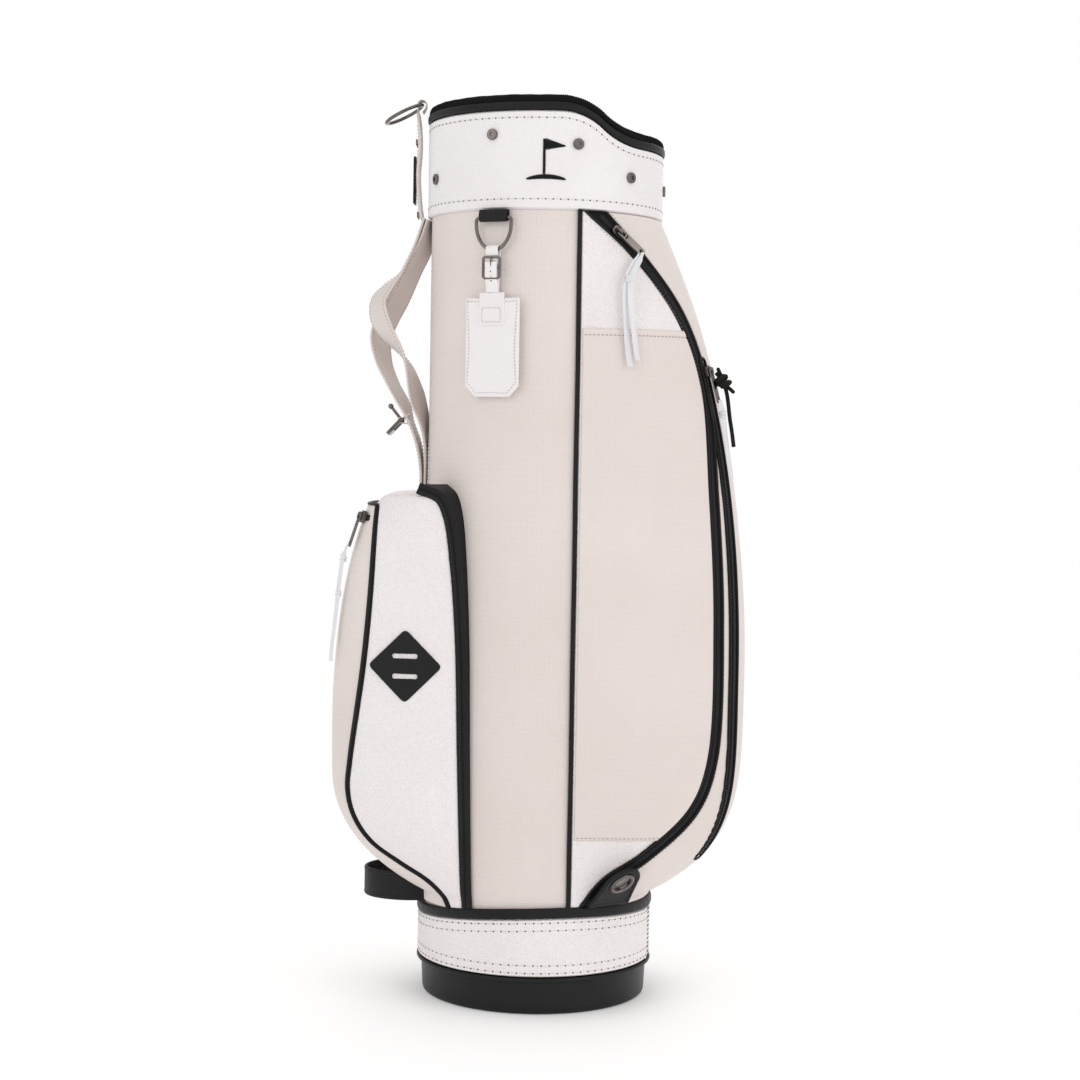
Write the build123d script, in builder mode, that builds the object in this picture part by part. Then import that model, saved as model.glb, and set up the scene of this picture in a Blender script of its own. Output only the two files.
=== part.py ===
"""Golf staff bag: a round bag body with a moulded base and collar, club dividers, a ball pocket on the
-X side, a bulging apparel bag on the +X side, a shoulder strap, a tag and zip pulls.

Millimetres. The origin is the centre of the base's underside, +Z is up, the ball pocket and the strap
are on -X, the apparel pockets on +X, and the two long sides of the bag face -Y (near) and +Y (far)."""

from build123d import *
from math import cos, degrees, hypot, pi, radians, sin, tan
import os

os.makedirs("parts", exist_ok=True)

# Driving dimensions.
BODY_R = 115.5              # outside of the body tube
SHEET = 3.0                 # body panel, and every pocket panel, foam and lining included
GAP = 0.3                   # clearance between neighbouring pieces
SKIN_R = BODY_R + SHEET     # outside of a panel that lies on the body
BASE_R = 115.6              # moulded base at its upper edge
FLANGE_R = 120.4
FLANGE_Z = 38.0
BAND_TOP = 96.0             # base cuff's upper edge at the -Y and +Y sides
TRIM_TALL = 11.0            # rolled trim over the cuff
COLLAR_Z = 787.0            # collar's lower edge
COLLAR_TOP = 882.0          # leather edge on the high side
COLLAR_DROP = 30.0          # how far the +X side is lower
DROP_START = 15.0           # x where the rim starts to fall
DROP_RUN = 80.0
COLLAR_R = 119.2
BINDING_TALL = 8.0
PAD_TALL = 8.0
FRAME_R = 108.5             # inside of the collar frame
DIVIDER_X = 38.0            # the two cross dividers
POCKET_FOOT = 108.4         # lowest edge of every pocket
POCKET_HEAD = 784.0         # highest edge of the apparel bag

FRONT = dict(side=1, reach=209.0, widest=335.0, head=POCKET_HEAD, top_gain=90.0, top_power=2.15,
             foot_gain=90.0, foot_power=4.5, seam=radians(72.6))
BALL = dict(side=-1, reach=206.5, widest=232.0, head=524.0, top_gain=42.0, top_power=3.0,
            foot_gain=87.0, foot_power=2.35, seam=radians(57.0))


def save(part, name):
    """Labels a finished piece and writes it to its own file."""
    part.label = name
    export_step(part, f"parts/{name}.step")


# ---------------------------------------------------------------- shared outlines

def reach_at(pocket, z):
    """How far the pocket stands out from the bag's axis at height z."""
    if z >= pocket["widest"]:
        share = (z - pocket["widest"]) / (pocket["head"] - pocket["widest"])
        return pocket["reach"] - pocket["top_gain"] * share ** pocket["top_power"]
    share = (pocket["widest"] - z) / (pocket["widest"] - POCKET_FOOT)
    return pocket["reach"] - pocket["foot_gain"] * share ** pocket["foot_power"]


def plan_shape(pocket, z):
    """Superellipse of the plan at height z: its two half-lengths and its power."""
    reach = max(reach_at(pocket, z), SKIN_R + 0.4)
    power = 2 + 2 * (reach - SKIN_R) / (pocket["reach"] - SKIN_R)
    seam = pocket["seam"]
    across = sin(seam) / (SKIN_R ** -power - (cos(seam) / reach) ** power) ** (1 / power)
    return reach, across, power


def plan_radius(pocket, z, angle):
    """Distance from the axis to the pocket's outside, at an angle from its own middle."""
    reach, across, power = plan_shape(pocket, z)
    return ((cos(angle) / reach) ** power + (abs(sin(angle)) / across) ** power) ** (-1 / power)


def on_pocket(pocket, x, z, grow=0.0):
    """Point on the -Y half of the pocket's outside, given its x and z."""
    reach, across, power = plan_shape(pocket, z)
    depth = across * (1 - min(abs(x) / reach, 0.999) ** power) ** (1 / power)
    return Vector(x, -depth - grow, z)


def pocket_block(pocket, grow, low, high, levels, edge_share=1.0):
    """Closed block of the pocket's outer shape, grown or shrunk, from the axis side outwards."""
    seam = pocket["seam"] * edge_share
    with BuildPart() as block:
        for level in range(levels + 1):
            z = low + (high - low) * level / levels
            rim = []
            for step in range(17):
                angle = seam * (step / 8 - 1)
                radius = plan_radius(pocket, z, angle) + grow
                rim.append((pocket["side"] * radius * cos(angle), radius * sin(angle)))
            with BuildSketch(Plane.XY.offset(z)):
                with BuildLine():
                    Spline(*rim)
                    Line(rim[-1], rim[0])
                make_face()
        loft()
    return block.part


def side_region(points, depth=260.0):
    """Block whose side view (x, z) is a straight-sided outline, right through the bag in Y."""
    with BuildPart() as block:
        with BuildSketch(Plane.XZ):
            with BuildLine():
                Polyline(*points, close=True)
            make_face()
        extrude(amount=depth / 2, both=True)
    return block.part


def rim_slice(low, high):
    """Block between two copies of the sloping rim line, low and high above the leather's top edge."""
    with BuildPart() as block:
        with BuildSketch(Plane.XZ):
            with BuildLine():
                for lift in (low, high):
                    top = COLLAR_TOP + lift
                    Line((-140, top), (DROP_START, top))
                    fall = TangentArc((DROP_START, top),
                                      (DROP_START + DROP_RUN / 2, top - COLLAR_DROP / 2),
                                      tangent=(1, 0))
                    TangentArc(fall @ 1, (DROP_START + DROP_RUN, top - COLLAR_DROP), tangent=fall % 1)
                    Line((DROP_START + DROP_RUN, top - COLLAR_DROP), (140, top - COLLAR_DROP))
                for x, drop in ((-140, 0), (140, COLLAR_DROP)):
                    Line((x, COLLAR_TOP - drop + low), (x, COLLAR_TOP - drop + high))
            make_face()
        extrude(amount=140, both=True)
    return block.part


def cuff_slice(low, high):
    """Block between two copies of the base cuff's upper edge, which dips on the -X and +X sides."""
    with BuildPart() as block:
        with BuildSketch(Plane.XZ):
            with BuildLine():
                for lift in (low, high):
                    ThreePointArc((-140, 78 + lift), (0, BAND_TOP + lift), (140, 88 + lift))
                for x, z in ((-140, 78), (140, 88)):
                    Line((x, z + low), (x, z + high))
            make_face()
        extrude(amount=140, both=True)
    return block.part


def ring(inner, outer, low, high):
    """Plain round ring."""
    with BuildPart() as band:
        with BuildSketch(Plane.XY.offset(low)):
            Circle(outer)
            Circle(inner, mode=Mode.SUBTRACT)
        extrude(amount=high - low)
    return band.part


# ---------------------------------------------------------------- base

with BuildPart() as base_cap:
    with BuildSketch(Plane.XZ):
        with BuildLine():
            Polyline((0, 0), (BASE_R - 5.0, 0), (BASE_R - 2.0, 3.0), (BASE_R, FLANGE_Z - 5.5),
                     (FLANGE_R, FLANGE_Z - 4.5), (FLANGE_R, FLANGE_Z - 0.6), (112.2, FLANGE_Z - 0.6),
                     (112.2, 84), (109.4, 84), (109.4, 6), (0, 6), close=True)
        make_face()
    revolve(axis=Axis.Z)
    for groove_r in (62.0, 78.0, 94.0):
        with BuildSketch(Plane.XY):
            Circle(groove_r + 2)
            Circle(groove_r - 2, mode=Mode.SUBTRACT)
        extrude(amount=1.4, mode=Mode.SUBTRACT)
save(base_cap.part, "base_cap")

with BuildPart() as base_band:
    add(ring(BODY_R + GAP, BODY_R + 4, FLANGE_Z, BAND_TOP + 10))
    add(cuff_slice(-90, 0), mode=Mode.INTERSECT)
save(base_band.part, "base_band")

with BuildPart() as base_trim:
    add(ring(BODY_R + GAP, BODY_R + 5.2, FLANGE_Z, BAND_TOP + 30))
    add(cuff_slice(GAP, TRIM_TALL), mode=Mode.INTERSECT)
save(base_trim.part, "base_trim")

# ---------------------------------------------------------------- body, collar and inside

save(ring(BODY_R - SHEET, BODY_R, FLANGE_Z, 846), "body_shell")

with BuildPart() as collar_frame:
    add(ring(FRAME_R, BODY_R - SHEET - GAP, 792, 846 + GAP))
    add(ring(FRAME_R, BODY_R, 846 + GAP, 920))
    add(rim_slice(-140, 14), mode=Mode.INTERSECT)
save(collar_frame.part, "collar_frame")

with BuildPart() as collar_band:
    add(ring(BODY_R + GAP, COLLAR_R, COLLAR_Z, 920))
    add(rim_slice(-140, 0), mode=Mode.INTERSECT)
save(collar_band.part, "collar_band")

with BuildPart() as rim_binding:
    add(ring(BODY_R + GAP, COLLAR_R + 1.4, 800, 920))
    add(rim_slice(GAP, BINDING_TALL), mode=Mode.INTERSECT)
save(rim_binding.part, "rim_binding")

with BuildPart() as rim_pad:
    add(ring(FRAME_R - 3.2, COLLAR_R + 0.2, 800, 930))
    add(rim_slice(BINDING_TALL + GAP, BINDING_TALL + PAD_TALL), mode=Mode.INTERSECT)
    with BuildPart(mode=Mode.PRIVATE) as pad_room:
        add(ring(FRAME_R - GAP, BODY_R + GAP, 800, 930))
        add(rim_slice(-100, 14 + GAP), mode=Mode.INTERSECT)
    add(pad_room.part, mode=Mode.SUBTRACT)
save(rim_pad.part, "rim_pad")


def divider_plan(thickness, reach):
    """Plan of the club dividers: one plate along X and four half plates along Y, cut to a circle."""
    with BuildSketch() as plan:
        Rectangle(2 * reach, thickness)
        for x in (-DIVIDER_X, DIVIDER_X):
            for side in (-1, 1):
                with Locations((x, side * (thickness / 2 + GAP + reach / 2))):
                    Rectangle(thickness, reach)
        Circle(reach, mode=Mode.INTERSECT)
    return plan.sketch


with BuildPart() as divider_grid:
    with BuildSketch(Plane.XY.offset(780)):
        add(divider_plan(10, FRAME_R - 3.6))
    extrude(amount=150)
    add(rim_slice(-46, -10), mode=Mode.INTERSECT)
save(divider_grid.part, "divider_grid")

with BuildPart() as divider_panels:
    with BuildSketch(Plane.XY.offset(6 + GAP)):
        add(divider_plan(2, FRAME_R - 4.6))
    extrude(amount=880)
    add(rim_slice(-880, -46 - GAP), mode=Mode.INTERSECT)
save(divider_panels.part, "divider_panels")

with BuildPart() as stay_rods:
    with BuildSketch(Plane.XY.offset(6 + GAP)):
        with PolarLocations(FRAME_R - 4.5, 4, start_angle=45):
            Circle(4)
    extrude(amount=780)
save(stay_rods.part, "stay_rods")


def around(azimuth, radius, z):
    """Plane that faces outwards from the bag's axis. Azimuth 0 is the -Y side, 90 is the +X side."""
    angle = radians(azimuth)
    outward = Vector(sin(angle), -cos(angle), 0)
    return Plane(origin=outward * radius + Vector(0, 0, z),
                 x_dir=Vector(cos(angle), sin(angle), 0), z_dir=outward)


# Snap studs that hold a rain hood: azimuth and height of each.
SNAPS = ((-66, 822), (-26, 859), (15, 850), (44, 822), (85, 818), (125, 822), (165, 850), (206, 859),
         (246, 822))
with BuildPart() as collar_snaps:
    for azimuth, height in SNAPS:
        with BuildSketch(around(azimuth, COLLAR_R + 0.1, height)):
            Circle(5.4)
        extrude(amount=2.4)
    fillet(collar_snaps.edges().filter_by(GeomType.CIRCLE).group_by(
        lambda edge: round(hypot(edge.center().X, edge.center().Y), 1))[-1], 0.8)
    for azimuth, height in SNAPS:
        with BuildSketch(around(azimuth, COLLAR_R + 2.6, height)):
            Circle(2.2)
        extrude(amount=-1.2, mode=Mode.SUBTRACT)
save(collar_snaps.part, "collar_snaps")

# ---------------------------------------------------------------- apparel bag on the +X side

SEAM_X = SKIN_R * cos(FRONT["seam"])

# Side view (x, z) of the curved zip, from the collar round to the base.
ZIP_LINE = ((45, 787), (97, 740), (137, 686), (160, 622), (170, 515), (177, 386), (173, 250), (155, 202),
            (107, 156), (70, 131), (46, 100))
front_outer = pocket_block(FRONT, 0, POCKET_FOOT, POCKET_HEAD, 12)
front_inner = pocket_block(FRONT, -SHEET, POCKET_FOOT + 26, POCKET_HEAD - 40, 10, edge_share=0.82)
with BuildPart() as front_skin:
    add(front_outer)
    add(front_inner, mode=Mode.SUBTRACT)
    Cylinder(BODY_R + GAP, 2000, mode=Mode.SUBTRACT)

with BuildPart() as zip_cut:
    with BuildSketch(Plane.XZ):
        with BuildLine() as zip_line:
            Spline(*ZIP_LINE)
        trace(zip_line.line, line_width=11)
    extrude(amount=150)

with BuildPart() as side_cut:
    with BuildSketch(Plane.XZ):
        with BuildLine():
            Spline(*ZIP_LINE)
            Polyline(ZIP_LINE[-1], (20, 80), (20, 800), (45, 800), ZIP_LINE[0])
        make_face()
    extrude(amount=150)


def far_copy(part):
    """The same piece on the other long side of the bag."""
    return mirror(part, about=Plane.XZ)


with BuildPart() as side_pocket_near:
    add(front_skin.part)
    add(side_cut.part, mode=Mode.INTERSECT)
    add(zip_cut.part, mode=Mode.SUBTRACT)
save(side_pocket_near.part, "side_pocket_near")
save(far_copy(side_pocket_near.part), "side_pocket_far")

with BuildPart() as side_zip_near:
    add(front_skin.part)
    add(zip_cut.part, mode=Mode.INTERSECT)
save(side_zip_near.part, "side_zip_near")
save(far_copy(side_zip_near.part), "side_zip_far")

# Slip pocket panel, laid over the side pocket and open along its upper hem.
with BuildPart() as side_slip_near:
    add(pocket_block(FRONT, 1.8, 170, 676, 10))
    add(pocket_block(FRONT, GAP, 160, 686, 10), mode=Mode.SUBTRACT)
    add(side_cut.part, mode=Mode.INTERSECT)
    add(zip_cut.part, mode=Mode.SUBTRACT)
    add(side_region(((SEAM_X + 4, 173), (230, 173), (230, 674), (SEAM_X + 4, 674))), mode=Mode.INTERSECT)
save(side_slip_near.part, "side_slip_near")
save(far_copy(side_slip_near.part), "side_slip_far")

# The accessory zip runs straight down the near corner of the front panel.
FRONT_ZIP_ANGLE = radians(-22.5)
with BuildPart() as front_zip_cut:
    with BuildSketch(Plane.XY.offset(150)):
        with Locations(Location((170 * cos(FRONT_ZIP_ANGLE), 170 * sin(FRONT_ZIP_ANGLE), 0),
                                (0, 0, degrees(FRONT_ZIP_ANGLE)))):
            Rectangle(100, 14)
    extrude(amount=496)

with BuildPart() as front_zip:
    add(front_skin.part)
    add(front_zip_cut.part, mode=Mode.INTERSECT)
    add(side_cut.part, mode=Mode.SUBTRACT)
    add(zip_cut.part, mode=Mode.SUBTRACT)
save(front_zip.part, "front_zip")

with BuildPart() as front_pocket:
    add(front_skin.part)
    for cutter in (side_cut.part, zip_cut.part):
        add(cutter, mode=Mode.SUBTRACT)
        add(far_copy(cutter), mode=Mode.SUBTRACT)
    add(front_zip_cut.part, mode=Mode.SUBTRACT)
save(front_pocket.part, "front_pocket")

with BuildPart() as seam_piping:
    with BuildSketch(Plane.XY.offset(POCKET_FOOT)):
        for side in (-1, 1):
            with Locations(((SEAM_X - 2.2), side * (SKIN_R - 0.4) * sin(FRONT["seam"]))):
                Circle(1.9)
    extrude(amount=POCKET_HEAD - POCKET_FOOT)
save(seam_piping.part, "seam_piping")

# ---------------------------------------------------------------- ball pocket on the -X side

# Side view (x, z) of the pocket's front edge, where its piping runs, and of its seam on the body.
PIPING_LINE = ((-158, 540), (-163, 494), (-167, 410), (-173, 340), (-186, 242), (-188, 214),
               (-182, 188), (-165, 163), (-134, 142), (-106, 125), (-90, 108), (-84, 96))
BINDING_LINE = ((-120, 522), (-95, 511), (-84, 490), (-76, 440), (-70, 365), (-66, 241), (-61, 100))
BALL_VIEW = ((-104, 110.3), (-240, 182), (-240, 500), (-166, 500), (-156, 508), (-117, 520), (-96, 511),
             (-84, 490), (-77, 445), (-70, 365), (-66, 241), (-61, POCKET_FOOT), (-98, POCKET_FOOT))
with BuildPart() as ball_skin:
    add(pocket_block(BALL, 0, POCKET_FOOT, 524, 12))
    add(pocket_block(BALL, -SHEET, POCKET_FOOT + 34, 478, 10, edge_share=0.84), mode=Mode.SUBTRACT)
    add(side_region(BALL_VIEW), mode=Mode.INTERSECT)
    Cylinder(BODY_R + GAP, 2000, mode=Mode.SUBTRACT)

with BuildPart() as panel_cut:
    with BuildSketch(Plane.XZ):
        with BuildLine():
            Spline(*PIPING_LINE)
            Polyline(PIPING_LINE[-1], (-250, 96), (-250, 540), PIPING_LINE[0])
        make_face()
    extrude(amount=130, both=True)

with BuildPart() as piping_cut:
    with BuildSketch(Plane.XZ):
        with BuildLine() as piping_line:
            Spline(*PIPING_LINE)
        trace(piping_line.line, line_width=4.6)
    extrude(amount=130, both=True)

with BuildPart() as binding_cut:
    with BuildSketch(Plane.XZ):
        with BuildLine() as binding_line:
            Spline(*BINDING_LINE)
        trace(binding_line.line, line_width=22)
    extrude(amount=130, both=True)

with BuildPart() as ball_panel:
    add(ball_skin.part)
    add(panel_cut.part, mode=Mode.INTERSECT)
    add(piping_cut.part, mode=Mode.SUBTRACT)
save(ball_panel.part, "ball_panel")

with BuildPart() as ball_piping:
    add(ball_skin.part)
    add(piping_cut.part, mode=Mode.INTERSECT)
save(ball_piping.part, "ball_piping")

with BuildPart() as ball_binding:
    add(ball_skin.part)
    add(binding_cut.part, mode=Mode.INTERSECT)
    add(piping_cut.part, mode=Mode.SUBTRACT)
save(ball_binding.part, "ball_binding")

with BuildPart() as ball_gusset:
    add(ball_skin.part)
    for cutter in (panel_cut.part, piping_cut.part, binding_cut.part):
        add(cutter, mode=Mode.SUBTRACT)
save(ball_gusset.part, "ball_gusset")

# Diamond lash patches, one on each side gusset, with two slots for a strap.
PATCH_X, PATCH_Z = -130.7, 340.0
with BuildPart() as lash_patches:
    add(pocket_block(BALL, 2.8, 290, 390, 4))
    add(pocket_block(BALL, GAP, 280, 400, 4), mode=Mode.SUBTRACT)
    with BuildSketch(Plane.XZ) as patch_view:
        with Locations((PATCH_X, PATCH_Z)):
            RectangleRounded(52, 52, 4, rotation=45)
        with Locations((PATCH_X, PATCH_Z + 10), (PATCH_X, PATCH_Z - 10)):
            SlotOverall(25, 5, mode=Mode.SUBTRACT)
    extrude(amount=130, both=True, mode=Mode.INTERSECT)
save(lash_patches.part, "lash_patches")

# ---------------------------------------------------------------- carry loop and umbrella tab

with BuildPart() as lower_handle:
    with BuildSketch(Plane.XY.offset(95.4)):
        with BuildLine():
            for half in (41.0, 38.0):
                nose = -175.0 if half > 40 else -172.0
                RadiusArc((-135, -half), (nose, 0), half * 1.02)
                RadiusArc((nose, 0), (-135, half), half * 1.02)
                Line((-135, -half), (-106, -half))
                Line((-135, half), (-106, half))
            Line((-106, -41), (-106, -38))
            Line((-106, 38), (-106, 41))
        make_face()
    extrude(amount=31)
    Cylinder(BODY_R + GAP, 2000, mode=Mode.SUBTRACT)
    add(side_region(((-100, 90), (-200, 90), (-200, 130), (-165, 130), (-140, 126), (-118, 115.5),
                     (-100, 107))), mode=Mode.INTERSECT)
save(lower_handle.part, "lower_handle")

# Leather tab that rises from the base trim and leans outwards, with an eyelet for an umbrella's tip.
TAB_AZIMUTH = 36.0
TAB_LEAN = 40.0
tab_root = around(TAB_AZIMUTH, BODY_R + 7.0, 108.0)
tab_up = tab_root.z_dir * sin(radians(TAB_LEAN)) + Vector(0, 0, cos(radians(TAB_LEAN)))
tab_plane = Plane(tab_root.origin, x_dir=tab_root.x_dir, z_dir=tab_root.x_dir.cross(tab_up))
EYELET_UP = 34.0
with BuildPart() as umbrella_tab:
    with BuildSketch(tab_plane):
        with BuildLine():
            Line((-25, 0), (25, 0))
            Line((25, 0), (20.5, EYELET_UP))
            ThreePointArc((20.5, EYELET_UP), (0, EYELET_UP + 20.5), (-20.5, EYELET_UP))
            Line((-20.5, EYELET_UP), (-25, 0))
        make_face()
        with Locations((0, EYELET_UP)):
            Circle(9.2, mode=Mode.SUBTRACT)
    extrude(amount=3)
save(umbrella_tab.part, "umbrella_tab")

with BuildPart() as umbrella_eyelet:
    with BuildSketch(tab_plane.offset(-1.2)):
        with Locations((0, EYELET_UP)):
            Circle(9.2)
            Circle(8.0, mode=Mode.SUBTRACT)
    extrude(amount=5.6)
    for lift in (-1.2, 3.2):
        with BuildSketch(tab_plane.offset(lift)):
            with Locations((0, EYELET_UP)):
                Circle(12.5)
                Circle(8.0, mode=Mode.SUBTRACT)
        extrude(amount=1.0)
save(umbrella_eyelet.part, "umbrella_eyelet")

# ---------------------------------------------------------------- tag under the collar

TAG_AZIMUTH = -24.2
RING_OUT = 121.4            # radius of the plane that the hanging ring lies in
RING_Z = 778.5
RING_DEEP = 31.0
WIRE = 1.75
tag_plane = around(TAG_AZIMUTH, RING_OUT, RING_Z)

with BuildPart() as tag_loop:
    with BuildSketch(tag_plane.offset(-5.4)):
        Rectangle(30, 8)
        with Locations((0, 4)):
            Rectangle(30, 8)
    extrude(amount=8.6)
    with BuildSketch(Plane(tag_plane.origin, x_dir=tag_plane.z_dir, z_dir=tag_plane.x_dir)):
        Circle(WIRE + 0.2)
    extrude(amount=20, both=True, mode=Mode.SUBTRACT)
save(tag_loop.part, "tag_loop")

with BuildPart() as tag_ring:
    with BuildLine(tag_plane) as ring_path:
        ThreePointArc((-18.6, 0), (0, -RING_DEEP), (18.6, 0))
    with BuildSketch(Plane(ring_path.line @ 0, z_dir=ring_path.line % 0)):
        Circle(WIRE)
    sweep()
    for end in (-18.6, 18.6):
        with BuildSketch(Plane(tag_plane.from_local_coords((end, 0, 0)), z_dir=(0, 0, 1))) as bead:
            with BuildLine():
                ThreePointArc((0, -WIRE - 0.01), (WIRE + 0.01, 0), (0, WIRE + 0.01))
                Line((0, WIRE + 0.01), (0, -WIRE - 0.01))
            make_face()
        revolve(axis=Axis(tag_plane.from_local_coords((end, 0, 0)), (0, 1, 0)))
    with BuildSketch(Plane(tag_plane.from_local_coords((-18.6, 0, 0)), z_dir=tag_plane.x_dir)):
        Circle(WIRE)
    extrude(amount=37.2)
save(tag_ring.part, "tag_ring")

HOOP_Z = RING_Z - RING_DEEP  # middle of the ring's lowest wire
strap_plane = around(TAG_AZIMUTH, RING_OUT, HOOP_Z)
with BuildPart() as tag_strap:
    with BuildSketch(Plane(strap_plane.origin, x_dir=strap_plane.z_dir, z_dir=strap_plane.x_dir)):
        Circle(4.8)
        with Locations((0.4, 24)):
            Rectangle(4.0, 44)
        Circle(3.1, mode=Mode.SUBTRACT)
    extrude(amount=6.5, both=True)
    with BuildSketch(strap_plane.offset(1.8)):
        with Locations((0, -57)):
            RectangleRounded(27, 32, 3)
    extrude(amount=1.8)
save(tag_strap.part, "tag_strap")

with BuildPart() as tag_buckle:
    with BuildSketch(strap_plane.offset(2.6)):
        with Locations((0, -17.2)):
            RectangleRounded(18, 23, 3.5)
            RectangleRounded(12.6, 17.6, 2, mode=Mode.SUBTRACT)
    extrude(amount=2.6)
save(tag_buckle.part, "tag_buckle")

with BuildPart() as tag_body:
    with BuildSketch(strap_plane.offset(-2.1)):
        with BuildLine():
            Polyline((-28.5, -46), (28.5, -46), (28.5, -132), (18.5, -142), (-18.5, -142), (-28.5, -132),
                     close=True)
        make_face()
    extrude(amount=3)
    with BuildSketch(strap_plane.offset(-3)):
        with Locations((0, -40)):
            Rectangle(14, 34)
    extrude(amount=6, mode=Mode.SUBTRACT)
save(tag_body.part, "tag_body")

# ---------------------------------------------------------------- collar handle and its ring

HANDLE_LINE = ((-125.4, 787), (-127.3, 800), (-129.5, 830), (-128, 858), (-128.6, 878), (-130.8, 893))
HOOK = (-126.6, 902.4)      # the ring's wire inside the handle's top fold
with BuildPart() as collar_handle:
    with BuildSketch(Plane.XZ):
        with BuildLine() as handle_line:
            Spline(*HANDLE_LINE)
        trace(handle_line.line, line_width=3.6)
    extrude(amount=15, both=True)
    with BuildSketch(Plane.XZ):
        with Locations(HOOK):
            Circle(5.4)
        with BuildLine():
            Polyline((-132.6, 893), (-129.2, 893), (-123.6, 897.5), (-132.0, 901), close=True)
        make_face()
        with Locations(HOOK):
            Circle(3.6, mode=Mode.SUBTRACT)
    extrude(amount=8, both=True)
save(collar_handle.part, "collar_handle")

with BuildPart() as handle_plate:
    with BuildSketch(Plane.YZ.offset(-134.6)):
        with Locations((0, 826)):
            RectangleRounded(22, 48, 2)
    extrude(amount=2.6)
save(handle_plate.part, "handle_plate")

with BuildPart() as handle_rivets:
    for height, out in ((864, -132.3), (791, -130.2)):
        for y in (-8, 8):
            with BuildSketch(Plane.YZ.offset(out)):
                with Locations((y, height)):
                    Circle(3.2)
            extrude(amount=1.6)
save(handle_rivets.part, "handle_rivets")

RING_MID_R = 20.4
RING_FALL = radians(27)
ring_centre = Vector(HOOK[0] - RING_MID_R * cos(RING_FALL), 0, HOOK[1] - RING_MID_R * sin(RING_FALL))
with BuildPart() as top_ring:
    with BuildSketch(Plane.XZ.shift_origin(ring_centre)):
        with Locations((RING_MID_R * cos(RING_FALL), RING_MID_R * sin(RING_FALL))):
            Circle(WIRE)
    revolve(axis=Axis(ring_centre, (-sin(RING_FALL), 0, cos(RING_FALL))))
save(top_ring.part, "top_ring")

# ---------------------------------------------------------------- shoulder strap

STRAP_WIDE = 38.0
LONG_LINE = ((-121.2, 785), (-138, 752), (-160, 717), (-177.5, 688), (-178.5, 662), (-170, 630),
             (-152, 603), (-134, 580), (-124.5, 556), (-122.4, 530), (-122.2, 522.6))
SHORT_LINE = ((-117.4, 786), (-124.5, 756), (-141, 722), (-154, 690), (-150, 662), (-137, 632),
              (-123.5, 602), (-118.2, 574), (-118.2, 522.6))
for line_points, strap_name in ((LONG_LINE, "strap_long"), (SHORT_LINE, "strap_short")):
    with BuildPart() as strap:
        with BuildSketch(Plane.XZ):
            with BuildLine() as strap_line:
                Spline(*line_points)
            trace(strap_line.line, line_width=3.0)
        extrude(amount=STRAP_WIDE / 2, both=True)
        Cylinder(BODY_R + GAP, 2000, mode=Mode.SUBTRACT)
    save(strap.part, strap_name)

# The buckle stands away from the strap: a frame whose upper side is a round bar, and a ball-ended
# prong that turns on that bar.
BUCKLE_AT = Vector(-143.5, 0, 582.5)
BUCKLE_DIP = 47.0
BAR_R = 1.3
buckle_out = Vector(sin(radians(BUCKLE_DIP)), 0, -cos(radians(BUCKLE_DIP)))
buckle_plane = Plane(BUCKLE_AT, x_dir=(0, 1, 0), z_dir=buckle_out)
with BuildPart() as strap_buckle:
    with BuildSketch(buckle_plane.offset(-1.8)):
        with Locations((0, -8.4)):
            RectangleRounded(46, 22, 4)
        with Locations((0, -4.2)):
            Rectangle(38, 16.8, mode=Mode.SUBTRACT)
    extrude(amount=3.6)
    with BuildSketch(Plane(BUCKLE_AT, x_dir=(1, 0, 0), z_dir=(0, 1, 0))):
        Circle(BAR_R)
    extrude(amount=20, both=True)
save(strap_buckle.part, "strap_buckle")

PRONG_R = 1.6
prong_run = Vector(-0.62, 0, 0.785)
with BuildPart() as buckle_prong:
    with BuildSketch(Plane(BUCKLE_AT + prong_run, z_dir=prong_run)):
        Circle(PRONG_R)
    extrude(amount=16)
    with BuildSketch(Plane(BUCKLE_AT, x_dir=(1, 0, 0), z_dir=(0, 1, 0))):
        Circle(BAR_R + 1.9)
    extrude(amount=6, both=True)
    with BuildSketch(Plane(BUCKLE_AT, x_dir=(1, 0, 0), z_dir=(0, 1, 0))):
        Circle(BAR_R + 0.35)
    extrude(amount=7, both=True, mode=Mode.SUBTRACT)
    with Locations(BUCKLE_AT + prong_run * 18):
        Sphere(2.8)
save(buckle_prong.part, "buckle_prong")

# ---------------------------------------------------------------- zip sliders and pulls

def surface_plane(point_at, place, across, step=1.0):
    """Plane on a pocket's outside: z outwards, and y up the track at the given place."""
    here = point_at(*place)
    run = point_at(*across) - here
    u = point_at(place[0] + step, place[1]) - here
    v = point_at(place[0], place[1] + step) - here
    normal = u.cross(v).normalized()
    if normal.dot(Vector(here.X, here.Y, 0)) < 0:
        normal = normal * -1
    up = (run - normal * run.dot(normal)).normalized()
    return Plane(here, x_dir=up.cross(normal), z_dir=normal)


def front_at(x, z):
    """Point on the near side of the apparel bag."""
    return on_pocket(FRONT, x, z)


def front_zip_at(slant, z):
    """Point on the front panel at an angle, in degrees, from the +X axis."""
    radius = plan_radius(FRONT, z, radians(slant))
    return Vector(radius * cos(radians(slant)), radius * sin(radians(slant)), z)


def ball_at(slant, z):
    """Point on the ball pocket's front at an angle, in degrees, from the -X axis."""
    radius = plan_radius(BALL, z, radians(slant))
    return Vector(-radius * cos(radians(slant)), -radius * sin(radians(slant)), z)


RIDE = 1.0                  # a slider's underside above the pocket's surface
PIN_UP = RIDE + 6.0
TAB_HOLE = 29.0             # from the pull's pin to the hole that holds its ribbon


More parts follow.
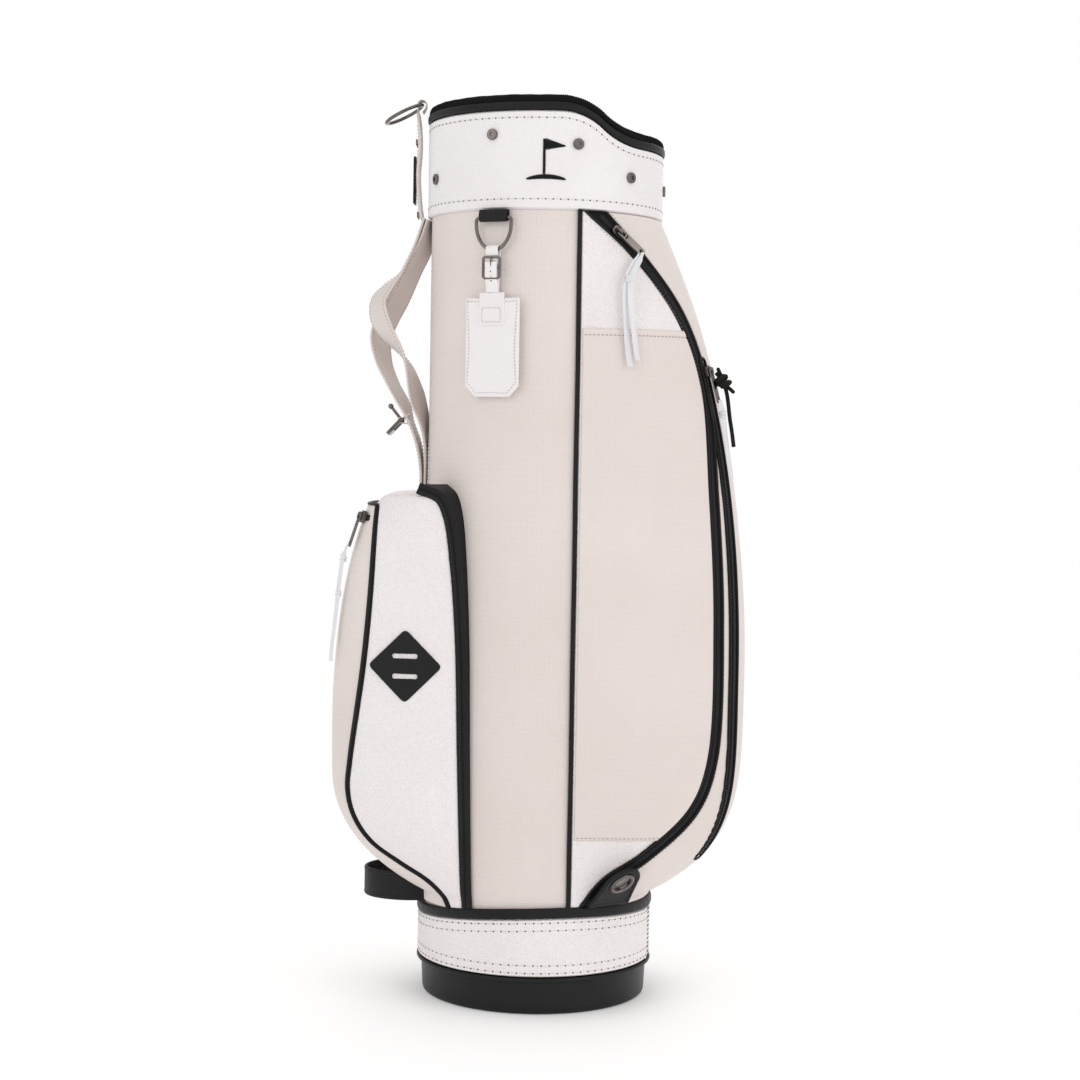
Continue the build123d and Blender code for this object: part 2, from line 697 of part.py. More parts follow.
def slider_body(plane):
    """Zip slider with a bridge that the pull's pin passes through."""
    with BuildPart() as body:
        with BuildSketch(plane.offset(RIDE)):
            RectangleRounded(8.4, 12.4, 2.6)
        extrude(amount=4.0)
        with BuildSketch(Plane(plane.origin, x_dir=plane.y_dir, z_dir=plane.x_dir)):
            with Locations((0, PIN_UP - 0.6)):
                RectangleRounded(8.4, 5.6, 2.4)
            with Locations((0, PIN_UP)):
                Circle(1.35, mode=Mode.SUBTRACT)
        extrude(amount=1.3, both=True)
    return body.part


def slider_pull(plane):
    """Pull: a pin through the bridge, two arms and a flat tab with a hole, hanging down the track."""
    with BuildPart() as pull:
        with BuildSketch(Plane(plane.from_local_coords((-3.4, 0, PIN_UP)), z_dir=plane.x_dir)):
            Circle(1.1)
        extrude(amount=6.8)
        with BuildSketch(plane.offset(PIN_UP - 0.7)):
            for side in (-1, 1):
                with Locations((side * 2.6, -3.4)):
                    Rectangle(1.6, 8.4)
            with Locations((0, -20)):
                RectangleRounded(7.2, 26, 2)
            with Locations((0, -TAB_HOLE)):
                Circle(1.9, mode=Mode.SUBTRACT)
            with Locations((0, -9.4)):
                SlotOverall(4.4, 1.6, mode=Mode.SUBTRACT)
        extrude(amount=1.4)
    return pull.part


SIDE_REST, SIDE_TRACK = (69.1, 767.0), (63.2, 772.2)
side_slider_plane = surface_plane(front_at, SIDE_REST, SIDE_TRACK)
save(slider_body(side_slider_plane), "side_slider_near")
save(slider_pull(side_slider_plane), "side_pull_near")
save(far_copy(slider_body(side_slider_plane)), "side_slider_far")
save(far_copy(slider_pull(side_slider_plane)), "side_pull_far")

front_slider_plane = surface_plane(front_zip_at, (-22.5, 634), (-22.5, 644))
save(slider_body(front_slider_plane), "front_slider")
save(slider_pull(front_slider_plane), "front_pull")

ball_slider_plane = surface_plane(ball_at, (15.5, 484), (15.5, 494))
save(slider_body(ball_slider_plane), "ball_slider")
save(slider_pull(ball_slider_plane), "ball_pull")

# ---------------------------------------------------------------- ribbons and cord on the pulls

RIBBON_TUBE = 2.4
CORD_TUBE = 4.0
CORDS = {
    "side_ribbon_a_near": (RIBBON_TUBE, (
        (91.8, -102.5, 747.1), (87.0, -106.0, 738.0), (80.0, -111.0, 725.0), (78.0, -113.5, 706.0),
        (79.5, -114.0, 684.0), (81.0, -115.5, 660.0), (84.5, -116.0, 637.0))),
    "side_ribbon_b_near": (RIBBON_TUBE, (
        (95.4, -102.2, 748.2), (91.5, -107.6, 738.5), (84.6, -112.6, 726.0), (83.0, -115.0, 708.0),
        (86.0, -115.5, 686.0), (88.0, -117.0, 663.0), (91.8, -117.4, 643.0))),
    "front_ribbon": (RIBBON_TUBE, (
        (175.6, -73.7, 607.0), (178.2, -76.8, 596.0), (179.8, -79.8, 582.0), (182.8, -81.2, 564.0),
        (185.2, -83.4, 546.0), (188.8, -84.0, 528.5))),
    "front_cord": (CORD_TUBE, (
        (171.4, -71.6, 633.6), (177.5, -69.6, 627.5), (182.0, -69.0, 617.0), (184.2, -70.2, 604.0),
        (185.4, -72.8, 590.0), (188.2, -73.8, 575.0), (189.8, -76.6, 561.0))),
    "ball_ribbon_a": (RIBBON_TUBE, (
        (-191.8, -55.4, 457.6), (-195.6, -57.2, 447.0), (-197.0, -58.2, 433.0), (-199.5, -59.6, 412.0),
        (-201.6, -60.2, 395.0), (-203.6, -61.4, 376.0), (-206.4, -61.6, 357.5), (-207.0, -62.4, 340.5))),
    "ball_ribbon_b": (RIBBON_TUBE, (
        (-193.0, -51.4, 456.6), (-196.8, -52.2, 446.0), (-199.6, -53.4, 431.0), (-202.0, -54.4, 411.0),
        (-203.2, -56.2, 391.0), (-205.6, -57.0, 372.0), (-206.4, -58.2, 353.0))),
}


def cord_tube(name, diameter, route):
    """Round tube along straight runs joined by tangent arcs, each as large as its two runs allow."""
    points = [Vector(point) for point in route]
    runs = [b - a for a, b in zip(points, points[1:])]
    radii = []
    for before, after in zip(runs, runs[1:]):
        turn = radians(before.get_angle(after))
        radii.append(0.45 * min(before.length, after.length) / tan(turn / 2))
    print(name, "radii", [round(radius, 1) for radius in radii])
    with BuildPart() as tube:
        with BuildLine() as path:
            FilletPolyline(*points, radius=radii)
        with BuildSketch(Plane(points[0], z_dir=runs[0])):
            Circle(diameter / 2)
        sweep()
    exact = pi * (diameter / 2) ** 2 * path.wire().length
    print(name, "length", round(path.wire().length, 1), "volume share", round(tube.part.volume / exact, 3))
    return tube.part


for cord_name, (cord_diameter, cord_route) in CORDS.items():
    cord = cord_tube(cord_name, cord_diameter, cord_route)
    save(cord, cord_name)
    if cord_name.endswith("_near"):
        save(far_copy(cord), cord_name.replace("_near", "_far"))
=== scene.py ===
"""Golf staff bag: the visual model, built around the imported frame. Shapes are worked out in millimetres."""
import bmesh
import bpy
import numpy as np
from math import cos, pi, radians, sin, sqrt
from mathutils import Matrix, Vector


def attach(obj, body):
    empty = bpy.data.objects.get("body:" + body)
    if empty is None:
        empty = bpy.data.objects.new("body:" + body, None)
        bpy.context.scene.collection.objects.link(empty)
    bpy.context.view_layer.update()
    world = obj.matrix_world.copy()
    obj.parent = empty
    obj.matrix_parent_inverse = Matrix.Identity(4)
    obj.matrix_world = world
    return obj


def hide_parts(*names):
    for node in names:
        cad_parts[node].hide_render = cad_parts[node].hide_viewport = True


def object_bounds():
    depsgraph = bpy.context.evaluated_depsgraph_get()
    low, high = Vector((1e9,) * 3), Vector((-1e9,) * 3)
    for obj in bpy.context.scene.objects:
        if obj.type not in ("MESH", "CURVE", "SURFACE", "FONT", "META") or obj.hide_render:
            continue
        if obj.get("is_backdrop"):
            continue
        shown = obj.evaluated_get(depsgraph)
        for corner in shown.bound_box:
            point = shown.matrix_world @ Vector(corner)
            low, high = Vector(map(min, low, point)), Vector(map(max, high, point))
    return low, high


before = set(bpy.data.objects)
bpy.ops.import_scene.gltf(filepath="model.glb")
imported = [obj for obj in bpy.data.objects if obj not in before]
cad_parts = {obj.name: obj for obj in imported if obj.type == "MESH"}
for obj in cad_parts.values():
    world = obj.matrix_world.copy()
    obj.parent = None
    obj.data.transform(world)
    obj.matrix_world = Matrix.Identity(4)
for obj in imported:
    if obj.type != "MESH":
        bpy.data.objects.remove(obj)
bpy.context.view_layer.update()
MM = 0.001

# ---------------------------------------------------------------- camera and light

FOCAL, SENSOR = 71.57, 36.0
DISTANCE, EYE_HEIGHT = 2.200, 0.561         # metres, with the camera in front of the bag's axis
DOWN, ROLL = radians(2.57), radians(0.95)
LIGHTS = (("key", (-1.9, -2.3, 1.9), 0.5, 2.0, 15, (1.0, 0.985, 0.975)),
          ("fill", (2.4, -1.9, 1.3), 0.45, 2.2, 19, (1.0, 0.99, 0.985)),
          ("top", (0.0, 0.2, 3.2), 0.4, 2.6, 14, (1.0, 1.0, 1.0)),
          ("back", (0.4, 2.6, 1.6), 0.5, 2.4, 16, (1.0, 1.0, 1.0)))
WORLD_TINT, WORLD_LIGHT = (1.0, 0.985, 0.98, 1.0), 0.68
PLAIN_WHITE = (1.0, 1.0, 1.0, 1.0)


def place_in_scene(name, data):
    """A new object with the given data, linked to the scene."""
    made = bpy.data.objects.new(name, data)
    bpy.context.scene.collection.objects.link(made)
    return made


def add_node(tree, kind, *inputs, **values):
    """A node with its settings and inputs, in order or by name: another node's output is linked to the input."""
    node = tree.nodes.new(kind)
    for key, value in (*values.items(), *enumerate(inputs)):
        if isinstance(key, str) and hasattr(node, key):
            setattr(node, key, value)
            continue
        socket = node.inputs[key.replace("_", " ") if isinstance(key, str) else key]
        if isinstance(value, bpy.types.NodeSocket):
            tree.links.new(value, socket)
        else:
            socket.default_value = value
    return node


camera_data = bpy.data.cameras.new("camera")
camera_data.lens = FOCAL
camera_data.sensor_width = SENSOR
camera = place_in_scene("camera", camera_data)
camera.matrix_world = (Matrix.Translation((0.0, -DISTANCE, EYE_HEIGHT))
                       @ Matrix.Rotation(pi / 2 - DOWN, 4, "X") @ Matrix.Rotation(ROLL, 4, "Z"))
bpy.context.scene.camera = camera

for name, place, height, size, power, tint in LIGHTS:       # soft square lights that look at a height on the axis
    light_data = bpy.data.lights.new(name, "AREA")
    light_data.shape = "SQUARE"
    light_data.size = size
    light_data.energy = power
    light_data.color = tint
    light = place_in_scene(name, light_data)
    light.location = place
    light.rotation_mode = "QUATERNION"
    light.rotation_quaternion = (Vector((0, 0, height)) - Vector(place)).to_track_quat("-Z", "Y")

world = bpy.data.worlds.new("studio")
world.use_nodes = True
world_tree = world.node_tree
world_light = world_tree.nodes["Background"]
world_light.inputs["Color"].default_value = WORLD_TINT
world_light.inputs["Strength"].default_value = WORLD_LIGHT
ray = add_node(world_tree, "ShaderNodeLightPath")           # the camera itself sees plain white behind the bag
behind = add_node(world_tree, "ShaderNodeBackground", Color=PLAIN_WHITE, Strength=1.0)
mix = add_node(world_tree, "ShaderNodeMixShader", ray.outputs["Is Camera Ray"], world_light.outputs[0],
               behind.outputs[0])
world_tree.links.new(mix.outputs[0], world_tree.nodes["World Output"].inputs["Surface"])
bpy.context.scene.world = world
bpy.context.scene.view_settings.view_transform = "Standard"

# ---------------------------------------------------------------- materials

WEAVE_R = 0.13          # metres from the axis at which a weave's threads are as far apart round the bag as up it


def new_material(name, tint, rough, metal=0.0, sheen=0.0, specular=0.5):
    """A principled material, with what its nodes need to be extended."""
    made = bpy.data.materials.new(name)
    made.use_nodes = True
    tree = made.node_tree
    shader = tree.nodes["Principled BSDF"]
    for socket, value in (("Base Color", (*tint, 1.0)), ("Roughness", rough), ("Metallic", metal),
                          ("Sheen Weight", sheen), ("Specular IOR Level", specular)):
        shader.inputs[socket].default_value = value
    return made, tree, shader


def place_of(tree):
    """Object coordinates, in metres."""
    return add_node(tree, "ShaderNodeTexCoord").outputs["Object"]


def spread(tree, source, low, high, shader, socket):
    """Maps a 0 to 1 value between two colours or two numbers, into the shader's socket."""
    if isinstance(low, tuple):
        ramp = add_node(tree, "ShaderNodeValToRGB", Fac=source)
        for stop, at, tint in zip(ramp.color_ramp.elements, (0.3, 0.7), (low, high)):
            stop.position = at
            stop.color = (*tint, 1.0)
        result = ramp.outputs["Color"]
    else:
        result = add_node(tree, "ShaderNodeMapRange", Value=source, To_Min=low, To_Max=high).outputs["Result"]
    tree.links.new(result, shader.inputs[socket])


def bump(tree, shader, height, strength, distance, before=None):
    """Bump from a height value, on top of an earlier bump."""
    node = add_node(tree, "ShaderNodeBump", Height=height, Strength=strength, Distance=distance)
    if before is not None:
        tree.links.new(before, node.inputs["Normal"])
    tree.links.new(node.outputs["Normal"], shader.inputs["Normal"])
    return node.outputs["Normal"]


def leather(name, tint, shade, rough, grain, depth, specular=0.4):
    """Pebbled leather: round cells with creases between them, over a slow change of tone."""
    made, tree, shader = new_material(name, tint, rough, specular=specular)
    place = place_of(tree)
    warp = add_node(tree, "ShaderNodeTexNoise", Vector=place, Scale=grain * 0.6, Detail=2.0)
    bend = add_node(tree, "ShaderNodeVectorMath", warp.outputs["Color"], (0.9 / grain,) * 3, place,
                    operation="MULTIPLY_ADD")
    cells = add_node(tree, "ShaderNodeTexVoronoi", feature="SMOOTH_F1", Vector=bend.outputs["Vector"],
                     Scale=grain, Smoothness=0.55)
    tone = add_node(tree, "ShaderNodeTexNoise", Vector=place, Scale=9.0, Detail=4.0)
    spread(tree, tone.outputs["Fac"], shade, tint, shader, "Base Color")
    spread(tree, cells.outputs["Distance"], rough - 0.07, rough + 0.14, shader, "Roughness")
    bump(tree, shader, cells.outputs["Distance"], depth, -0.0009)
    return made


def weave(name, tint, shade, rough, pitch, depth, sheen=0.0, ripstop=0.0, specular=0.3):
    """Woven cloth: two sets of threads, and the heavier grid of ripstop where asked."""
    made, tree, shader = new_material(name, tint, rough, sheen=sheen, specular=specular)
    place = place_of(tree)
    split = add_node(tree, "ShaderNodeSeparateXYZ", place)

    def math(operation, *values):
        """The result of a sum on numbers or on other nodes' outputs."""
        return add_node(tree, "ShaderNodeMath", *values, operation=operation).outputs[0]

    def threads(value, per_unit, sharp):
        """Ridges from 0 to 1 across a value, narrower the sharper they are."""
        wave = math("SINE", math("MULTIPLY", value, per_unit))
        return math("POWER", math("MULTIPLY_ADD", wave, 0.5, 0.5), sharp)

    def crossed(gap, sharp, operation):
        """Threads round the bag and up it, at the same gap."""
        return math(operation, threads(turn, 2 * pi * WEAVE_R / gap, sharp),
                    threads(split.outputs["Z"], 2 * pi / gap, sharp))

    turn = math("ARCTAN2", split.outputs["Y"], split.outputs["X"])
    before = bump(tree, shader, crossed(pitch, 1.0, "MULTIPLY"), depth, 0.00012)
    if ripstop:
        bump(tree, shader, crossed(ripstop, 12.0, "MAXIMUM"), 0.7, 0.0002, before)
    tone = add_node(tree, "ShaderNodeTexNoise", Vector=place, Scale=7.0, Detail=5.0)
    spread(tree, tone.outputs["Fac"], shade, tint, shader, "Base Color")
    spread(tree, tone.outputs["Fac"], rough + 0.06, rough - 0.06, shader, "Roughness")
    return made


def speckled(name, tint, shade, rough, scale, depth, metal=0.0, specular=0.5):
    """Moulded plastic or metal: a fine grain and a slow change of tone and gloss."""
    made, tree, shader = new_material(name, tint, rough, metal=metal, specular=specular)
    place = place_of(tree)
    grain = add_node(tree, "ShaderNodeTexNoise", Vector=place, Scale=scale, Detail=3.0)
    tone = add_node(tree, "ShaderNodeTexNoise", Vector=place, Scale=25.0, Detail=4.0)
    spread(tree, tone.outputs["Fac"], shade, tint, shader, "Base Color")
    spread(tree, tone.outputs["Fac"], rough + 0.09, rough - 0.06, shader, "Roughness")
    bump(tree, shader, grain.outputs["Fac"], depth, 0.0002)
    return made


WHITE_LEATHER = leather("white_pebbled_leather", (0.90, 0.865, 0.865), (0.85, 0.80, 0.795), 0.46, 560.0, 0.9)
COLLAR_LEATHER = leather("white_collar_leather", (0.90, 0.87, 0.872), (0.86, 0.82, 0.82), 0.48, 700.0, 0.4)
BLACK_LEATHER = leather("black_leather", (0.0135, 0.0125, 0.0135), (0.007, 0.0065, 0.007), 0.44, 900.0, 0.6,
                        specular=0.22)
EDGE_LEATHER = leather("black_rolled_leather", (0.011, 0.0105, 0.0115), (0.006, 0.0055, 0.006), 0.42, 1100.0, 0.3,
                       specular=0.22)
CREAM_CLOTH = weave("cream_ripstop", (0.80, 0.73, 0.70), (0.745, 0.665, 0.625), 0.62, 0.0009, 0.35,
                    sheen=0.12, ripstop=0.0055)
CREAM_STRAP = weave("cream_strap_cloth", (0.76, 0.70, 0.665), (0.69, 0.62, 0.58), 0.6, 0.0011, 0.4, sheen=0.12)
BLACK_KNIT = weave("black_knit", (0.008, 0.0078, 0.0085), (0.004, 0.004, 0.0045), 0.85, 0.0014, 0.6, sheen=0.05,
                   specular=0.1)
ZIP_CLOTH = weave("zip_tape_cloth", (0.010, 0.0098, 0.012), (0.005, 0.005, 0.006), 0.78, 0.0010, 0.6, sheen=0.04,
                  specular=0.12)
DIVIDER_CLOTH = weave("divider_fleece", (0.03, 0.029, 0.031), (0.016, 0.016, 0.018), 0.9, 0.0018, 0.6, sheen=0.4)
RIBBON_CLOTH = weave("white_ribbon_cloth", (0.82, 0.82, 0.84), (0.72, 0.72, 0.75), 0.5, 0.0008, 0.5, sheen=0.2)
CORD_CLOTH = weave("dark_olive_cord", (0.020, 0.0205, 0.016), (0.008, 0.008, 0.007), 0.8, 0.0011, 0.8, sheen=0.05,
                   specular=0.15)
BASE_PLASTIC = speckled("black_moulded_plastic", (0.009, 0.009, 0.0098), (0.006, 0.006, 0.0065), 0.40, 1500.0,
                        0.22, specular=0.25)
FRAME_PLASTIC = speckled("black_frame_plastic", (0.02, 0.02, 0.021), (0.012, 0.012, 0.012), 0.6, 900.0, 0.3)
GUNMETAL = speckled("gunmetal", (0.23, 0.205, 0.19), (0.13, 0.115, 0.108), 0.24, 600.0, 0.10, metal=1.0)
TEETH = speckled("zip_teeth_plastic", (0.03, 0.03, 0.034), (0.018, 0.018, 0.02), 0.35, 900.0, 0.1)
RODS = speckled("grey_fibreglass", (0.32, 0.33, 0.32), (0.24, 0.25, 0.24), 0.4, 700.0, 0.2)
WHITE_THREAD = weave("white_thread", (0.84, 0.80, 0.79), (0.74, 0.70, 0.69), 0.5, 0.0006, 0.6)
PALE_THREAD = weave("beige_thread", (0.47, 0.39, 0.365), (0.37, 0.305, 0.285), 0.6, 0.0006, 0.6)
# this dark colour serves the cuff overlap's dark thread and also the needle-hole discs, where it is painted shade
# in the holes
DARK_THREAD_AND_HOLE_SHADE = weave("dark_thread_and_painted_hole_shade", (0.10, 0.088, 0.088), (0.06, 0.052, 0.052), 0.6, 0.0006, 0.6)
BLACK_THREAD = weave("black_thread", (0.05, 0.049, 0.053), (0.03, 0.03, 0.032), 0.5, 0.0006, 0.6)
RED_THREAD = weave("red_brown_thread", (0.20, 0.07, 0.05), (0.13, 0.045, 0.035), 0.6, 0.0006, 0.6)
BLACK_STITCH = weave("black_embroidery", (0.010, 0.010, 0.011), (0.005, 0.005, 0.0055), 0.6, 0.0011, 0.9,
                     sheen=0.05, specular=0.2)

# ---------------------------------------------------------------- making meshes


def shade_smooth(mesh, sharp_deg):
    """Smooth shading, with edges left sharp above an angle."""
    mesh.polygons.foreach_set("use_smooth", [True] * len(mesh.polygons))
    mesh.set_sharp_from_angle(angle=radians(sharp_deg))


def add_piece(name, verts, faces, material, slot, body="root", replaces=None):
    """A smooth mesh piece from points in millimetres. It rides on a body, and may stand in for a CAD node."""
    mesh = bpy.data.meshes.new(name)
    mesh.from_pydata((np.asarray(verts, float) * MM).tolist(), [], [list(face) for face in faces])
    mesh.validate()
    shell = bmesh.new()
    shell.from_mesh(mesh)
    bmesh.ops.recalc_face_normals(shell, faces=shell.faces)
    shell.to_mesh(mesh)
    shell.free()
    piece = place_in_scene(name, mesh)
    mesh.materials.append(material)
    shade_smooth(mesh, 50)
    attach(piece, body)
    if replaces:
        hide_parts(replaces)
    return piece


def grid_faces(rows, cols, start=0, wrap_rows=False, wrap_cols=False, flip=False):
    """Quads of a grid of points."""
    faces = []
    for i in range(rows if wrap_rows else rows - 1):
        for j in range(cols if wrap_cols else cols - 1):
            a, b = start + i * cols + j, start + i * cols + (j + 1) % cols
            c, d = start + ((i + 1) % rows) * cols + (j + 1) % cols, start + ((i + 1) % rows) * cols + j
            faces.append((a, d, c, b) if flip else (a, b, c, d))
    return faces


def closed_band(points):
    """Verts and faces of rows of points, each row a closed outline, with both ends filled."""
    rows, cols = points.shape[:2]
    ends = [tuple(range(cols)), tuple(reversed(range((rows - 1) * cols, rows * cols)))]
    return points.reshape(-1, 3), grid_faces(rows, cols, wrap_cols=True) + ends


class Shapes:
    """Several closed shapes gathered into one piece."""

    def __init__(self):
        self.verts, self.faces = [], []

    def add(self, verts, faces):
        """Takes in one more closed shape."""
        start = sum(len(v) for v in self.verts)
        self.verts.append(np.asarray(verts, float))
        self.faces += [tuple(start + k for k in face) for face in faces]

    def piece(self, name, material, **options):
        """Makes one mesh piece of all the shapes so far."""
        return add_piece(name, np.vstack(self.verts), self.faces, material, **options)


def unit(v):
    """Vectors scaled to length one."""
    v = np.asarray(v, float)
    return v / np.maximum(np.linalg.norm(v, axis=-1, keepdims=True), 1e-12)


def frames_along(path, normals=None, closed=False):
    """Tangent, normal and side of a path at each of its points."""
    path = np.asarray(path, float)
    if closed:
        tangent = unit(np.roll(path, -1, 0) - np.roll(path, 1, 0))
    else:
        tangent = unit(np.gradient(path, axis=0))
    if normals is None:
        normal = np.zeros_like(path)
        normal[0] = unit(np.cross(tangent[0], (0.3, 0.5, 0.81)))
        for k in range(1, len(path)):
            normal[k] = unit(normal[k - 1] - tangent[k] * (normal[k - 1] @ tangent[k]))
    else:
        normals = np.broadcast_to(np.asarray(normals, float), path.shape)
        normal = unit(normals - tangent * np.sum(normals * tangent, axis=1, keepdims=True))
    return tangent, normal, np.cross(tangent, normal)


def swept(path, profile, normals=None, closed=False, scale=None):
    """Points and faces of a closed profile, (side, out) pairs, carried along a path."""
    path = np.asarray(path, float)
    profile = np.asarray(profile, float)
    _, normal, side = frames_along(path, normals, closed)
    size = np.ones(len(path)) if scale is None else np.asarray(scale, float)
    across = profile[None, :, 0, None] * size[:, None, None]
    out = profile[None, :, 1, None] * size[:, None, None]
    points = path[:, None, :] + side[:, None, :] * across + normal[:, None, :] * out
    if closed:
        return points.reshape(-1, 3), grid_faces(len(path), len(profile), wrap_rows=True, wrap_cols=True)
    return closed_band(points)


def circle(radius, sides=10):
    """A round profile."""
    turns = np.arange(sides) * 2 * pi / sides
    return np.stack([np.cos(turns), np.sin(turns)], 1) * radius


def rounded(width, height, radius, steps=3):
    """A rounded rectangle as a profile, side to side and up."""
    points = []
    for turn, sx, sy in ((0, 1, 1), (pi / 2, -1, 1), (pi, -1, -1), (3 * pi / 2, 1, -1)):
        for k in range(steps + 1):
            angle = turn + k * pi / 2 / steps
            points.append((sx * (width / 2 - radius) + radius * cos(angle),
                           sy * (height / 2 - radius) + radius * sin(angle)))
    return np.array(points)


def tube(path, radius, sides=10, closed=False):
    """A round tube along a path, with domed ends."""
    path = np.asarray(path, float)
    if closed:
        return swept(path, circle(radius, sides), closed=closed)
    start, end = unit(path[0] - path[1]), unit(path[-1] - path[-2])
    domes = ((0.95, 0.3), (0.75, 0.66), (0.4, 0.92))
    before = [path[0] + start * radius * out for out, _ in domes]
    after = [path[-1] + end * radius * out for out, _ in reversed(domes)]
    size = [s for _, s in domes] + [1.0] * len(path) + [s for _, s in reversed(domes)]
    return swept(np.vstack([before, path, after]), circle(radius, sides), scale=size)


def runs_along(path):
    """How far along a path each of its points is."""
    return np.concatenate([[0], np.cumsum(np.linalg.norm(np.diff(path, axis=0), axis=1))])


def values_at(at, runs, values):
    """Values given at each run along a path, read off at other runs."""
    return np.stack([np.interp(at, runs, values[:, k]) for k in range(values.shape[1])], -1)


def arc(centre, radius, start, end, count):
    """Points of an arc in a plane, as pairs."""
    return [(centre[0] + radius * cos(a), centre[1] + radius * sin(a)) for a in np.linspace(start, end, count)]


def spaced_along(path, step):
    """Points at even steps along a path, and how far along each one is."""
    path = np.asarray(path, float)
    runs = runs_along(path)
    count = max(2, int(round(runs[-1] / step)) + 1)
    at = np.linspace(0, runs[-1], count)
    return values_at(at, runs, path), at


def smooth_line(points, step=2.0):
    """Centripetal curve through points of any dimension, at even steps."""
    points = np.asarray(points, float)
    ends = np.vstack([2 * points[0] - points[1], points, 2 * points[-1] - points[-2]])
    made = []
    for k in range(1, len(ends) - 2):
        p0, p1, p2, p3 = ends[k - 1:k + 3]
        t1 = np.linalg.norm(p1 - p0) ** 0.5
        t2 = t1 + np.linalg.norm(p2 - p1) ** 0.5
        t3 = t2 + np.linalg.norm(p3 - p2) ** 0.5
        count = max(2, int(np.linalg.norm(p2 - p1) / step))
        for t in np.linspace(t1, t2, count, endpoint=False):
            a1 = p0 * (t1 - t) / t1 + p1 * t / t1
            a2 = p1 * (t2 - t) / (t2 - t1) + p2 * (t - t1) / (t2 - t1)
            a3 = p2 * (t3 - t) / (t3 - t2) + p3 * (t - t2) / (t3 - t2)
            b1 = a1 * (t2 - t) / t2 + a2 * t / t2
            b2 = a2 * (t3 - t) / (t3 - t1) + a3 * (t - t1) / (t3 - t1)
            made.append(b1 * (t2 - t) / (t2 - t1) + b2 * (t - t1) / (t2 - t1))
    made.append(points[-1])
    return np.array(made)


def edge_distance(points):
    """Distance from each grid point to the nearest edge of the grid, along its rows and columns."""
    along = np.concatenate([np.zeros_like(points[:, :1, 0]),
                            np.cumsum(np.linalg.norm(np.diff(points, axis=1), axis=2), axis=1)], axis=1)
    down = np.concatenate([np.zeros_like(points[:1, :, 0]),
                           np.cumsum(np.linalg.norm(np.diff(points, axis=0), axis=2), axis=0)], axis=0)
    return np.minimum(np.minimum(along, along[:, -1:] - along), np.minimum(down, down[-1:] - down))


def panel(points, normals, thick, edge=1.5, swell=0.0):
    """Closed sheet on a grid of points: its outside rises to thick within a rounded edge."""
    points, normals = np.asarray(points, float), unit(normals)
    near = np.clip(edge_distance(points) / edge, 0, 1)
    height = thick * np.sqrt(np.clip(1 - (1 - near) ** 2, 0, 1)) * 0.8 + thick * 0.2
    outer = points + normals * (height + swell)[..., None]
    rows, cols = points.shape[:2]
    verts = np.vstack([outer.reshape(-1, 3), points.reshape(-1, 3)])
    faces = grid_faces(rows, cols) + grid_faces(rows, cols, start=rows * cols, flip=True)
    rim = ([j for j in range(cols)] + [i * cols + cols - 1 for i in range(1, rows)]
           + [(rows - 1) * cols + j for j in reversed(range(cols - 1))]
           + [i * cols for i in reversed(range(1, rows - 1))])
    low = rows * cols
    for a, b in zip(rim, rim[1:] + rim[:1]):
        faces.append((b, a, a + low, b + low))
    return verts, faces


def close_spaced(count, edge_steps=(0.0, 0.004, 0.012, 0.025)):
    """Shares from 0 to 1, closer together near both ends."""
    inner = edge_steps[-1] * 1.8
    middle = np.linspace(inner, 1 - inner, count)
    return np.concatenate([edge_steps, middle, 1 - np.array(edge_steps)[::-1]])


def stitches(shapes, path, normals, pitch, length, radius, lift=0.0):
    """Short threads along a path, each dipping into the surface at its ends."""
    path = np.asarray(path, float)
    runs = runs_along(path)
    normals = np.broadcast_to(np.asarray(normals, float), path.shape)
    count = int(runs[-1] / pitch)
    shares = np.linspace(-0.5, 0.5, 7)
    for k in range(count):
        at = (k + 0.5) * runs[-1] / count + shares * length
        line = values_at(at, runs, path)
        up = unit(values_at(at, runs, normals))
        arch = lift + radius * (1.1 - 1.9 * (2 * shares) ** 2)
        shapes.add(*swept(line + up * arch[:, None], circle(radius, 6), normals=up,
                          scale=(0.55, 0.85, 1, 1, 1, 0.85, 0.55)))


# ---------------------------------------------------------------- shared outlines

BODY_R, SHEET, COLLAR_R, SKIN_R = 115.5, 3.0, 119.2, 118.5
FOOT = 108.4
RIM_TOP, RIM_DROP, RIM_START, RIM_ARC = 882.0, 30.0, 15.0, 40.0     # the collar's upper edge steps down along x
SIDE_TUCK, BALL_TUCK, TOP_TUCK = 103.4, 97.0, 786.7      # where the panels go under the trim and the collar
FRONT = dict(side=1, reach=209.0, widest=335.0, head=784.0, top_gain=90.0, top_power=2.15,
             foot_gain=90.0, foot_power=4.5, seam=radians(72.6))
BALL = dict(side=-1, reach=206.5, widest=232.0, head=524.0, top_gain=42.0, top_power=3.0,
            foot_gain=87.0, foot_power=2.35, seam=radians(57.0))
ZIP_LINE = smooth_line(((36, 799.5), (49, 787), (97, 740), (137, 686), (160, 622), (170, 515), (177, 386),
                        (173, 250), (155, 202), (107, 156), (70, 131), (46, 100)))
PIPING_LINE = smooth_line(((-158, 540), (-163, 494), (-167, 410), (-173, 340), (-186, 242), (-188, 214),
                           (-182, 188), (-165, 163), (-134, 142), (-106, 125), (-90, 108), (-84, 96)))
BINDING_LINE = smooth_line(((-120, 522), (-95, 511), (-84, 490), (-76, 440), (-70, 365), (-66, 241),
                            (-61, 100)))
SEAM_X = SKIN_R * cos(FRONT["seam"])


